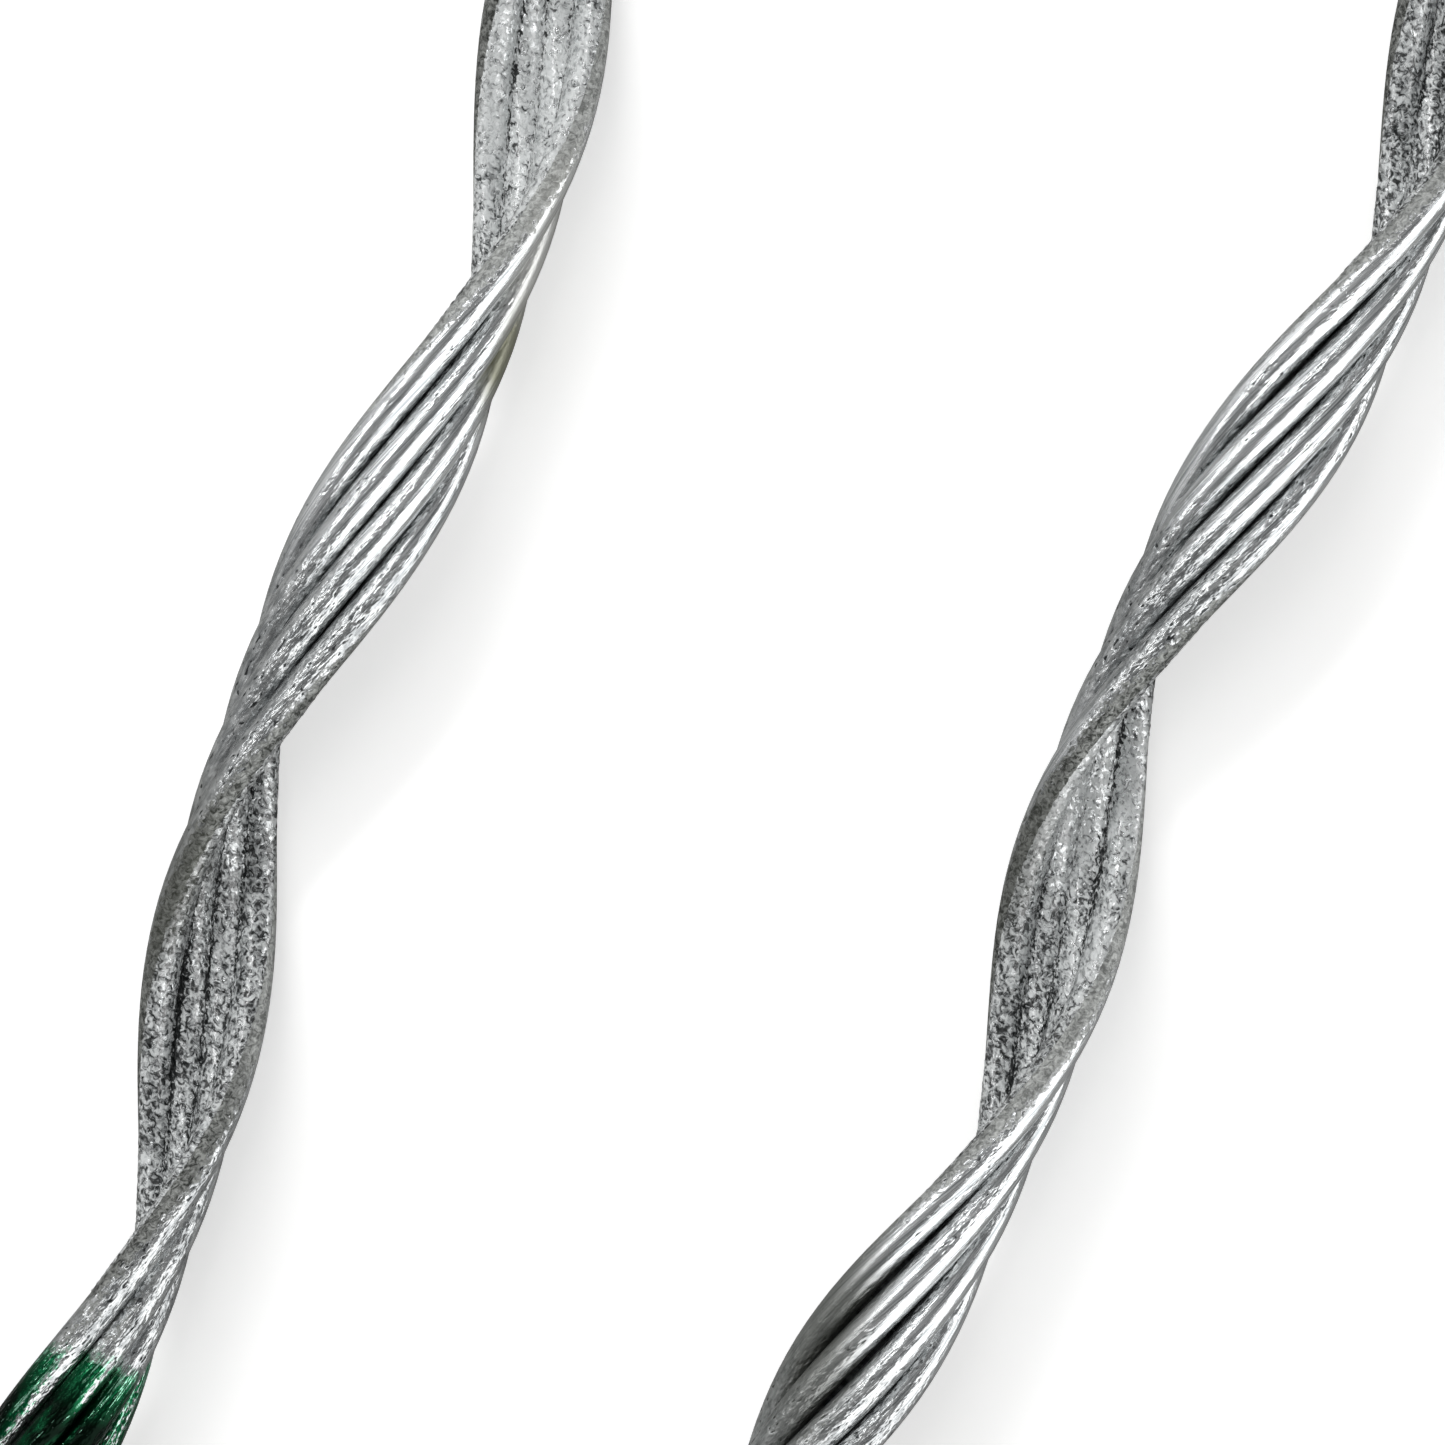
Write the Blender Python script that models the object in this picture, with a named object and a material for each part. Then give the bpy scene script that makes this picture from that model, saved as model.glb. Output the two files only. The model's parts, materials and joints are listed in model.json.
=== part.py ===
"""Preformed dead end grip for a 7/16 inch guy strand, in metres with +Z up.

Four galvanised steel wires run from the end of one leg, round the loop, to the end of the other leg.
In the legs they lie side by side as an open right-hand helical ribbon that wraps round the strand.
Towards the loop they close into a four-wire cable. Grit is bonded to the inside of each leg's ribbon.
The grip lies flat on a floor: the legs point to +Y and spread a little, and the loop is at -Y.

The centreline is measured from the tip of the loop: u is negative along the left leg (-X) and
positive along the right leg (+X).
"""

import math

import bmesh
import bpy
from mathutils import Vector

MM = 0.001
UP = Vector((0.0, 0.0, 1.0))

# Wires
WIRE_COUNT = 4
WIRE_DIAMETER = 4.2 * MM
LEG_WIRE_GAP = 0.25 * MM
LOOP_WIRE_GAP = 0.4 * MM

# Legs
STRAND_BORE = 10.0 * MM
LEFT_LEG_PITCH = 123.3 * MM
RIGHT_LEG_PITCH = 119.3 * MM
LEG_SPREAD = math.radians(2.19)
OVERALL_LENGTH = 965.0 * MM

# Loop
LOOP_RADIUS = 37.5 * MM
CABLE_PITCH = 60.31 * MM
CABLE_REACH = 150.0 * MM
OPENING_LENGTH = 60.0 * MM
LOOP_ROLL = math.radians(188.7)

# Cross-over mark, from the tip of the loop along the centreline
MARK_START = 178.0 * MM
MARK_LENGTH = 52.0 * MM

# Grit lining, its faces standing clear of the wires that it is bonded to
GRIT_MARK_MARGIN = 10.0 * MM
GRIT_END_MARGIN = 5.0 * MM
GRIT_THICKNESS = 0.4 * MM
GRIT_CLEARANCE = 0.5 * MM
GRIT_GROOVE_RISE = 0.7 * MM
GRIT_EDGE_RISE = 0.3 * MM
GRIT_EDGE_COVER = 0.35

# Faceting: a section's corners stand out a little, so that it fills as much as the round wire
WIRE_SIDES = 6
WIRE_CORNER_FACTOR = 1.02
STEPS_PER_TURN = 9

# Finishes: colour, metallic, roughness
FINISHES = {
    "galvanised_wire": ((0.56, 0.57, 0.58), 0.9, 0.32),
    "bonded_grit": ((0.27, 0.28, 0.28), 0.0, 0.85),
    "green_mark_paint": ((0.004, 0.075, 0.028), 0.0, 0.25),
}


def ring_radius(spacing, pitch, share):
    """Radius at which wires a given share of a turn apart lie a given spacing from centre to centre."""
    across = spacing / (2.0 * math.sin(math.pi * share))
    return across * pitch / math.sqrt(pitch ** 2 - (2.0 * math.pi * across) ** 2)


LEG_RADIUS = (STRAND_BORE + WIRE_DIAMETER) / 2.0
CABLE_RADIUS = ring_radius(WIRE_DIAMETER + LOOP_WIRE_GAP, CABLE_PITCH, 1.0 / WIRE_COUNT)
WIRE_CORNER_RADIUS = WIRE_CORNER_FACTOR * WIRE_DIAMETER / 2.0
ARC_HALF = LOOP_RADIUS * (math.pi / 2.0 - LEG_SPREAD)
LEG_RUN = OVERALL_LENGTH - LOOP_RADIUS * (1.0 - math.sin(LEG_SPREAD)) - CABLE_RADIUS - WIRE_CORNER_RADIUS
LEG_END = ARC_HALF + LEG_RUN / math.cos(LEG_SPREAD)


def leg_pitch(u):
    """Helical pitch of the leg on the side of u."""
    return LEFT_LEG_PITCH if u < 0.0 else RIGHT_LEG_PITCH


def openness(u):
    """0 in the closed cable and 1 in the open ribbon, easing between the two."""
    x = min(1.0, max(0.0, (abs(u) - CABLE_REACH) / OPENING_LENGTH))
    return x * x * (3.0 - 2.0 * x)


def turns(u):
    """Turns that the bundle makes between the tip of the loop and u."""
    distance = abs(u)
    x = min(1.0, max(0.0, (distance - CABLE_REACH) / OPENING_LENGTH))
    opened = OPENING_LENGTH * (x ** 3 - x ** 4 / 2.0) + max(0.0, distance - CABLE_REACH - OPENING_LENGTH)
    made = (distance - opened) / CABLE_PITCH + opened / leg_pitch(u)
    return math.copysign(made, u)


def centreline(u):
    """Point on the centreline of the bundle, and the direction in which u grows."""
    distance = abs(u)
    side = math.copysign(1.0, u)
    angle = min(distance, ARC_HALF) / LOOP_RADIUS
    straight = max(0.0, distance - ARC_HALF)
    x = LOOP_RADIUS * math.sin(angle) + straight * math.cos(angle)
    y = -LOOP_RADIUS * math.cos(angle) + straight * math.sin(angle)
    return Vector((side * x, y, 0.0)), Vector((math.cos(angle), side * math.sin(angle), 0.0))


def bundle(u):
    """Radius of the ring of wire centres at u, and the angle between neighbouring wires."""
    opened = openness(u)
    rate = (1.0 - opened) / CABLE_PITCH + opened / leg_pitch(u)
    radius = CABLE_RADIUS + opened * (LEG_RADIUS - CABLE_RADIUS)
    spacing = WIRE_DIAMETER + LOOP_WIRE_GAP + opened * (LEG_WIRE_GAP - LOOP_WIRE_GAP)
    across = spacing * math.hypot(1.0, 2.0 * math.pi * radius * rate) / (2.0 * radius)
    return radius, 2.0 * math.asin(min(1.0, across))


def around(u, radius, angle):
    """Point at a radius and an angle round the centreline, in the plane square to it."""
    centre, along = centreline(u)
    turned = LOOP_ROLL + 2.0 * math.pi * turns(u) + angle
    return centre + radius * (math.cos(turned) * UP.cross(along) + math.sin(turned) * UP)


def wire_angle(number, step):
    """Angle of a wire in the ribbon, from the middle of the ribbon."""
    return (number - (WIRE_COUNT - 1) / 2.0) * step


def wire_centre(number, u):
    """Centre of a wire at u."""
    radius, step = bundle(u)
    return around(u, radius, wire_angle(number, step))


def wire_section(number, u):
    """Corners of a wire's section, square to the wire, with flats towards its neighbours."""
    reach = 0.1 * MM
    centre = wire_centre(number, u)
    along = (wire_centre(number, u + reach) - wire_centre(number, u - reach)).normalized()
    outward = centre - centreline(u)[0]
    outward = (outward - outward.dot(along) * along).normalized()
    across = along.cross(outward)
    corners = []
    for index in range(WIRE_SIDES):
        angle = 2.0 * math.pi * index / WIRE_SIDES
        corners.append(centre + WIRE_CORNER_RADIUS * (math.cos(angle) * outward + math.sin(angle) * across))
    return corners


def grit_section(u):
    """Corners of the lining's section: scalloped, over each wire and into each groove between them."""
    radius, step = bundle(u)
    crest = radius - WIRE_CORNER_RADIUS - GRIT_CLEARANCE
    edge = wire_angle(WIRE_COUNT - 1, step) + GRIT_EDGE_COVER * step
    bonded = [around(u, crest + GRIT_EDGE_RISE, -edge)]
    bare = []
    for number in range(WIRE_COUNT):
        angle = wire_angle(number, step)
        bonded.append(around(u, crest, angle))
        bare.append(around(u, crest - GRIT_THICKNESS, angle))
        if number < WIRE_COUNT - 1:
            bonded.append(around(u, crest + GRIT_GROOVE_RISE, angle + step / 2.0))
            bare.append(around(u, crest + GRIT_GROOVE_RISE - GRIT_THICKNESS, angle + step / 2.0))
    bonded.append(around(u, crest + GRIT_EDGE_RISE, edge))
    return bonded + bare[::-1]


def wire_stations():
    """Values of u from one end of the wires to the other, at equal steps of the bundle's turn."""
    first, last = turns(-LEG_END), turns(LEG_END)
    count = math.ceil((last - first) * STEPS_PER_TURN)
    values = []
    for index in range(count + 1):
        wanted = first + (last - first) * index / count
        low, high = -LEG_END, LEG_END
        for _ in range(40):
            middle = (low + high) / 2.0
            if turns(middle) < wanted:
                low = middle
            else:
                high = middle
        values.append((low + high) / 2.0)
    return values


def stations_between(start, end):
    """The wires' own stations between start and end, with start and end themselves."""
    return [start] + [u for u in wire_stations() if start + MM < u < end - MM] + [end]


def sweep(name, sections, split):
    """Solid made by drawing a closed section through a row of places, its sides split into triangles."""
    work = bmesh.new()
    start_cap = face = work.faces.new([work.verts.new(corner) for corner in sections[0]])
    for section in sections[1:]:
        made = bmesh.ops.extrude_face_region(work, geom=[face])["geom"]
        if face is not start_cap:
            work.faces.remove(face)
        face = next(item for item in made if isinstance(item, bmesh.types.BMFace))
        for vertex, corner in zip(face.verts, section):
            vertex.co = corner
    bmesh.ops.triangulate(work, faces=work.faces, quad_method=split)
    bmesh.ops.recalc_face_normals(work, faces=work.faces)
    mesh = bpy.data.meshes.new(name)
    work.to_mesh(mesh)
    work.free()
    solid = bpy.data.objects.new(name, mesh)
    bpy.context.scene.collection.objects.link(solid)
    return solid


def finish(name):
    """Principled material of a named finish."""
    material = bpy.data.materials.get(name)
    if material is None:
        colour, metallic, roughness = FINISHES[name]
        material = bpy.data.materials.new(name)
        material.use_nodes = True
        shader = material.node_tree.nodes["Principled BSDF"]
        shader.inputs["Base Color"].default_value = (*colour, 1.0)
        shader.inputs["Metallic"].default_value = metallic
        shader.inputs["Roughness"].default_value = roughness
    return material


def make_wire(number):
    """One wire, from the end of the left leg, round the loop, to the end of the right leg."""
    sections = [wire_section(number, u) for u in wire_stations()]
    wire = sweep(f"wire_{number + 1}", sections, split="SHORT_EDGE")
    wire.data.materials.append(finish("galvanised_wire"))
    wire.data.materials.append(finish("green_mark_paint"))
    mark_near = centreline(MARK_START)[0].y
    mark_far = centreline(MARK_START + MARK_LENGTH)[0].y
    for face in wire.data.polygons:
        face.material_index = int(mark_near < face.center.y < mark_far)
    wire.data.shade_smooth()
    wire.data.set_sharp_from_angle(angle=math.radians(75.0))
    return wire


def make_grit_lining(side_name, side):
    """Bonded grit on the inside of one leg's ribbon, from the cross-over mark to near the wire ends."""
    near = side * (MARK_START + MARK_LENGTH + GRIT_MARK_MARGIN)
    far = side * (LEG_END - GRIT_END_MARGIN)
    sections = [grit_section(u) for u in stations_between(min(near, far), max(near, far))]
    lining = sweep(f"grit_lining_{side_name}_leg", sections, split="LONG_EDGE")
    lining.data.materials.append(finish("bonded_grit"))
    return lining


def rest_on_floor(solids):
    """Moves all solids together, so that the middle of their box's floor is the origin."""
    corners = [vertex.co for solid in solids for vertex in solid.data.vertices]
    low = [min(corner[axis] for corner in corners) for axis in range(3)]
    high = [max(corner[axis] for corner in corners) for axis in range(3)]
    shift = Vector((-(low[0] + high[0]) / 2.0, -(low[1] + high[1]) / 2.0, -low[2]))
    for solid in solids:
        for vertex in solid.data.vertices:
            vertex.co += shift


def main():
    """Builds the grip in an empty scene."""
    for item in list(bpy.data.objects):
        bpy.data.objects.remove(item, do_unlink=True)
    solids = [make_wire(number) for number in range(WIRE_COUNT)]
    solids.append(make_grit_lining("left", -1.0))
    solids.append(make_grit_lining("right", 1.0))
    rest_on_floor(solids)


main()
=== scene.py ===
"""Looks of the preformed dead end grip: round wires, bonded grit, marking paint, floor and light.

The grip is four hot-dip galvanised steel wires. They lie side by side as an open helical ribbon in
each leg, and close into a cable in the loop. Sharp abrasive grit is bonded to the inside of the legs,
and a coat of green paint marks where the legs cross when the grip is applied.

The centreline is measured from the tip of the loop: u is negative along the left leg and positive
along the right leg. Sizes are in metres. A finish's patterns are laid out on straightened coordinates
in millimetres, so their sizes are in millimetres and their rates are for each millimetre.
"""

from __future__ import annotations

import json
import logging
import math
from dataclasses import dataclass, field, replace
from enum import Enum

import bmesh
import bpy
import numpy as np
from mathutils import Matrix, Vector

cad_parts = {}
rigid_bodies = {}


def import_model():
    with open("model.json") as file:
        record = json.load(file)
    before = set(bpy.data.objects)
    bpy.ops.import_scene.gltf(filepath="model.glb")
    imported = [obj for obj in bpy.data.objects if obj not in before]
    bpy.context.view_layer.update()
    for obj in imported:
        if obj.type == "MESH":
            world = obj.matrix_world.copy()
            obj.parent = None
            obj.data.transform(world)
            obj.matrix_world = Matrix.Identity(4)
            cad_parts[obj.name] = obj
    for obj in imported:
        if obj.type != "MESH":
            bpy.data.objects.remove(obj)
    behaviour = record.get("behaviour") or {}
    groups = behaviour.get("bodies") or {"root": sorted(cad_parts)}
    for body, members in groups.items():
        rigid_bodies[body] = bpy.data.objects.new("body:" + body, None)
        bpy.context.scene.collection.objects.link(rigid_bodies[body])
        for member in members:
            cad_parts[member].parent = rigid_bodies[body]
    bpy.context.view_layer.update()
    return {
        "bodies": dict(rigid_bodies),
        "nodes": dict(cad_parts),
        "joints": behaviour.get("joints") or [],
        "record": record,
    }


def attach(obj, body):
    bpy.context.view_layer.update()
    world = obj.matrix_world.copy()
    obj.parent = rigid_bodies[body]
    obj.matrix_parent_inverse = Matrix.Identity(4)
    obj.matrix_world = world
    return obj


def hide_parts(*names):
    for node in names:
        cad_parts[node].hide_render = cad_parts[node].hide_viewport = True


LOG = logging.getLogger("dead_end_grip")
MM = 0.001
UP = np.array([0.0, 0.0, 1.0])
FULL_TURN = 2.0 * math.pi
MERGE_DISTANCE = 0.001 * MM

# A noise texture of scale 1 has lumps of about this size
NOISE_GRAIN = 0.62

# An oval region holds its full value inside the first share of its size, and ends at the second
REGION_CORE, REGION_EDGE = 0.5, 1.2

# Inputs that a Map Range and a Mix node tell apart by number, and a Mix node's colour output
LOW, HIGH, OUT_LOW, OUT_HIGH = 1, 2, 3, 4
NUMBER_A, NUMBER_B = 2, 3
COLOUR_A, COLOUR_B = 6, 7
MIXED_COLOUR = 2

Tree = bpy.types.NodeTree
Socket = bpy.types.NodeSocket


class Side(Enum):
    """A leg of the grip, and the sign of u along it."""

    LEFT = -1.0
    RIGHT = 1.0


class Node(Enum):
    """The kinds of shader node that the finishes, the floor and the room are made of."""

    ATTRIBUTE = "ShaderNodeAttribute"
    BUMP = "ShaderNodeBump"
    CELLS = "ShaderNodeTexVoronoi"
    COLOUR_RAMP = "ShaderNodeValToRGB"
    COORDINATES = "ShaderNodeTexCoord"
    LIGHT_PATH = "ShaderNodeLightPath"
    MAP_RANGE = "ShaderNodeMapRange"
    MAPPING = "ShaderNodeMapping"
    MATH = "ShaderNodeMath"
    MIX = "ShaderNodeMix"
    NOISE = "ShaderNodeTexNoise"
    SPLIT_COLOUR = "ShaderNodeSeparateColor"
    SPLIT_VECTOR = "ShaderNodeSeparateXYZ"
    VECTOR_MATH = "ShaderNodeVectorMath"


def colour(text: str) -> tuple[float, float, float, float]:
    """Turns an sRGB hex value into linear RGBA.

    Args:
        text: A colour such as "#9A9C9D".

    Returns:
        The linear red, green, blue and an alpha of 1.
    """
    parts = [int(text[start : start + 2], 16) / 255.0 for start in (1, 3, 5)]
    linear = [part / 12.92 if part <= 0.04045 else ((part + 0.055) / 1.055) ** 2.4 for part in parts]
    return (linear[0], linear[1], linear[2], 1.0)


def add_node(
    tree: Tree,
    kind: Node,
    values: dict[str | int, object] | None = None,
    links: dict[str | int, Socket] | None = None,
    **settings: object,
) -> bpy.types.Node:
    """Adds one node with its settings, its socket values and what feeds it.

    Args:
        tree: The node tree that the node goes into.
        kind: The kind of node.
        values: Default values by input name or number.
        links: Output sockets by the input that they feed.
        **settings: Properties of the node itself.

    Returns:
        The new node.
    """
    made = tree.nodes.new(kind.value)
    for name, setting in settings.items():
        setattr(made, name, setting)
    for name, value in (values or {}).items():
        made.inputs[name].default_value = value
    for name, source in (links or {}).items():
        tree.links.new(source, made.inputs[name])
    return made


def new_material(name: str) -> tuple[bpy.types.Material, Tree, bpy.types.Node]:
    """Starts a material.

    Args:
        name: The finish's name.

    Returns:
        The material, its node tree and its Principled shader.
    """
    made = bpy.data.materials.new(name)
    made.use_nodes = True
    return made, made.node_tree, made.node_tree.nodes["Principled BSDF"]


def feed(tree: Tree, shader: bpy.types.Node, sources: dict[str, Socket]) -> None:
    """Links each source to the shader's input of its name."""
    for name, source in sources.items():
        tree.links.new(source, shader.inputs[name])


def nearness(
    tree: Tree,
    place: Socket,
    middle: tuple[float, float, float],
    half_size: tuple[float, float, float],
    share: float,
) -> Socket:
    """Gives how close a place is to the middle of an oval region.

    Args:
        tree: The node tree that the nodes go into.
        place: The object coordinates.
        middle: The region's middle.
        half_size: The region's half lengths along the three axes.
        share: The value in the middle.

    Returns:
        The share in the inner half of the region, fading to 0 a little outside it.
    """
    offset = add_node(tree, Node.VECTOR_MATH, {1: middle}, {0: place}, operation="SUBTRACT").outputs[0]
    reach = tuple(1.0 / half for half in half_size)
    scaled = add_node(tree, Node.VECTOR_MATH, {1: reach}, {0: offset}, operation="MULTIPLY").outputs[0]
    away = add_node(tree, Node.VECTOR_MATH, links={0: scaled}, operation="LENGTH").outputs["Value"]
    region = {LOW: REGION_EDGE, HIGH: REGION_CORE, OUT_HIGH: share}
    return add_node(tree, Node.MAP_RANGE, region, {0: away}).outputs[0]


def smooth_step(x: np.ndarray) -> np.ndarray:
    """Eases 0 to 1 to an S curve, clamped at both ends."""
    x = np.clip(x, 0.0, 1.0)
    return x * x * (3.0 - 2.0 * x)


def wrapped_sheet(name: str, points: np.ndarray, values: dict[str, np.ndarray]) -> bpy.types.Object:
    """Rolls a flat grid into a closed tube of any section and caps its ends.

    Args:
        name: Name of the new object.
        points: Where the grid's points go, as rows x columns x 3. The last column equals the first.
        values: Vectors to keep on the points by attribute name, in the same layout.

    Returns:
        The new object, whose faces point outwards.
    """
    rows, columns = points.shape[:2]
    work = bmesh.new()
    bmesh.ops.create_grid(work, x_segments=columns - 1, y_segments=rows - 1, size=1.0)
    layers = {key: work.verts.layers.float_vector.new(key) for key in values}
    seam = []
    for vertex in work.verts:
        column = round((vertex.co.x + 1.0) / 2.0 * (columns - 1))
        row = round((vertex.co.y + 1.0) / 2.0 * (rows - 1))
        vertex.co = points[row, column]
        for key, layer in layers.items():
            vertex[layer] = values[key][row, column]
        if column in (0, columns - 1):
            seam.append(vertex)
    bmesh.ops.remove_doubles(work, verts=seam, dist=MERGE_DISTANCE)
    bmesh.ops.holes_fill(work, edges=[edge for edge in work.edges if edge.is_boundary], sides=0)
    bmesh.ops.recalc_face_normals(work, faces=work.faces)
    mesh = bpy.data.meshes.new(name)
    work.to_mesh(mesh)
    work.free()
    made = bpy.data.objects.new(name, mesh)
    bpy.context.scene.collection.objects.link(made)
    return made


@dataclass(frozen=True)
class LooseSpot:
    """A stretch where one wire of a leg stands off sideways, which opens a gap beside it."""

    wire: int
    middle: float
    reach: float
    shift: float


@dataclass(frozen=True)
class Bundle:
    """The path of the wires, which the wires, the grit and the paint all follow."""

    wire_count: int = 4
    wire_diameter: float = 4.2 * MM
    leg_gap: float = 0.25 * MM
    left_leg_gap: float = 0.13 * MM
    loop_gap: float = 0.02 * MM
    strand_bore: float = 10.0 * MM
    left_pitch: float = 123.3 * MM
    right_pitch: float = 119.3 * MM
    spread: float = math.radians(2.19)
    loop_radius: float = 37.5 * MM
    cable_pitch: float = 60.31 * MM
    cable_reach: float = 150.0 * MM
    opening_length: float = 60.0 * MM
    snug_reach: float = 222.0 * MM
    roll: float = math.radians(188.7)
    leg_end: float = 981.48 * MM
    # Each wire of a leg strays by a slow and a quick wave, which ease in and out at the leg's ends
    wander: float = 0.09 * MM
    wander_lengths: tuple[float, float] = (67.0 * MM, 29.0 * MM)
    wander_lags: tuple[float, float] = (2.4, 4.1)
    wander_shares: tuple[float, float] = (0.7, 0.3)
    wander_easings: tuple[float, float] = (20.0 * MM, 30.0 * MM)
    loose_spots: tuple[LooseSpot, ...] = (
        LooseSpot(wire=0, middle=264.0 * MM, reach=30.0 * MM, shift=-0.60 * MM),
        LooseSpot(wire=2, middle=262.0 * MM, reach=26.0 * MM, shift=0.55 * MM),
        LooseSpot(wire=3, middle=264.0 * MM, reach=28.0 * MM, shift=0.50 * MM),
    )
    place: tuple[float, float, float] = (0.0, 0.0, 0.0)

    @property
    def leg_radius(self) -> float:
        """Radius of the ring of wire centres in the legs."""
        return (self.strand_bore + self.wire_diameter) / 2.0

    @property
    def cable_radius(self) -> float:
        """Radius of the ring of wire centres in the closed cable."""
        across = (self.wire_diameter + self.loop_gap) / (2.0 * math.sin(math.pi / self.wire_count))
        return across * self.cable_pitch / math.sqrt(self.cable_pitch**2 - (FULL_TURN * across) ** 2)

    def leg_pitch(self, u: np.ndarray) -> np.ndarray:
        """Helical pitch of the leg on the side of u."""
        return np.where(u < 0.0, self.left_pitch, self.right_pitch)

    def turned(self, u: np.ndarray) -> np.ndarray:
        """Gives the angle that the bundle has turned.

        Args:
            u: Places along the centreline.

        Returns:
            The angles in radians.
        """
        distance = np.abs(u)
        x = np.clip((distance - self.cable_reach) / self.opening_length, 0.0, 1.0)
        beyond = np.maximum(0.0, distance - self.cable_reach - self.opening_length)
        opened = self.opening_length * (x**3 - x**4 / 2.0) + beyond
        made = (distance - opened) / self.cable_pitch + opened / self.leg_pitch(u)
        return self.roll + FULL_TURN * np.sign(u) * made

    def centreline(self, u: np.ndarray) -> tuple[np.ndarray, np.ndarray]:
        """Gives the centreline at u.

        Args:
            u: Places along the centreline.

        Returns:
            The points and the directions in which u grows, one row for each place.
        """
        arc_half = self.loop_radius * (math.pi / 2.0 - self.spread)
        distance = np.abs(u)
        side = np.where(u < 0.0, -1.0, 1.0)
        angle = np.minimum(distance, arc_half) / self.loop_radius
        straight = np.maximum(0.0, distance - arc_half)
        x = side * (self.loop_radius * np.sin(angle) + straight * np.cos(angle))
        y = -self.loop_radius * np.cos(angle) + straight * np.sin(angle)
        points = np.stack([x, y, np.zeros_like(x)], axis=-1) + np.array(self.place)
        return points, np.stack([np.cos(angle), side * np.sin(angle), np.zeros_like(x)], axis=-1)

    def ring(self, u: np.ndarray) -> tuple[np.ndarray, np.ndarray]:
        """Gives the ring of wire centres at u.

        Args:
            u: Places along the centreline.

        Returns:
            The ring's radius and the angle between neighbouring wires.
        """
        opened = smooth_step((np.abs(u) - self.cable_reach) / self.opening_length)
        rate = (1.0 - opened) / self.cable_pitch + opened / self.leg_pitch(u)
        radius = self.cable_radius + opened * (self.leg_radius - self.cable_radius)
        eased = smooth_step((np.abs(u) - self.snug_reach) / self.opening_length)
        gap = np.where(u < 0.0, self.left_leg_gap, self.leg_gap)
        spacing = self.wire_diameter + self.loop_gap + eased * (gap - self.loop_gap)
        across = spacing * np.hypot(1.0, FULL_TURN * radius * rate) / (2.0 * radius)
        return radius, 2.0 * np.arcsin(np.minimum(1.0, across))

    def strayed(self, number: int, u: np.ndarray) -> np.ndarray:
        """Gives how far a wire of a leg strays sideways, which opens and shuts the gaps.

        Args:
            number: The wire, from 0.
            u: Places along the centreline.

        Returns:
            The distances towards the next wire.
        """
        slow, quick = (
            np.sin(FULL_TURN * u / length + lag * number)
            for length, lag in zip(self.wander_lengths, self.wander_lags)
        )
        reach = np.abs(u) - self.cable_reach - self.opening_length
        start_easing, end_easing = self.wander_easings
        free = smooth_step(reach / start_easing) * smooth_step((self.leg_end - np.abs(u)) / end_easing)
        slow_share, quick_share = self.wander_shares
        made = self.wander * free * (slow_share * slow + quick_share * quick)
        for spot in self.loose_spots:
            if spot.wire == number:
                made = made + spot.shift * smooth_step(1.0 - np.abs(u - spot.middle) / spot.reach)
        return made

    def wire_centre(self, number: int, u: np.ndarray) -> np.ndarray:
        """Gives the centres of a wire.

        Args:
            number: The wire, from 0.
            u: Places along the centreline.

        Returns:
            The points, one row for each place.
        """
        centre, along = self.centreline(u)
        radius, step = self.ring(u)
        angle = self.turned(u) + (number - (self.wire_count - 1) / 2.0) * step
        angle = angle + self.strayed(number, u) / radius
        sideways = np.cross(UP, along)
        outward = np.cos(angle)[..., None] * sideways + np.sin(angle)[..., None] * UP
        return centre + radius[..., None] * outward

    def wire_axes(self, number: int, u: np.ndarray) -> tuple[np.ndarray, np.ndarray, np.ndarray]:
        """Gives what a wire's surface is laid out on.

        Args:
            number: The wire, from 0.
            u: Places along the centreline.

        Returns:
            The wire's centres, the directions away from the centreline, and the directions
            towards the next wire, the last two square to the wire.
        """
        reach = 0.1 * MM
        centre = self.wire_centre(number, u)
        along = self.wire_centre(number, u + reach) - self.wire_centre(number, u - reach)
        along /= np.linalg.norm(along, axis=-1, keepdims=True)
        outward = centre - self.centreline(u)[0]
        outward -= np.sum(outward * along, axis=-1, keepdims=True) * along
        outward /= np.linalg.norm(outward, axis=-1, keepdims=True)
        return centre, outward, np.cross(along, outward)

    def wire_length(self, number: int, u: np.ndarray) -> np.ndarray:
        """Length along a wire at each of a row of places."""
        steps = np.linalg.norm(np.diff(self.wire_centre(number, u), axis=0), axis=-1)
        return np.concatenate([[0.0], np.cumsum(steps)])


@dataclass(frozen=True)
class RubbedStrip:
    """A strip along one wire of the left leg where the paint is rubbed thin, or off at amount 1."""

    wire: int
    lean: float
    half_width: float
    reach: float
    amount: float


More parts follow.
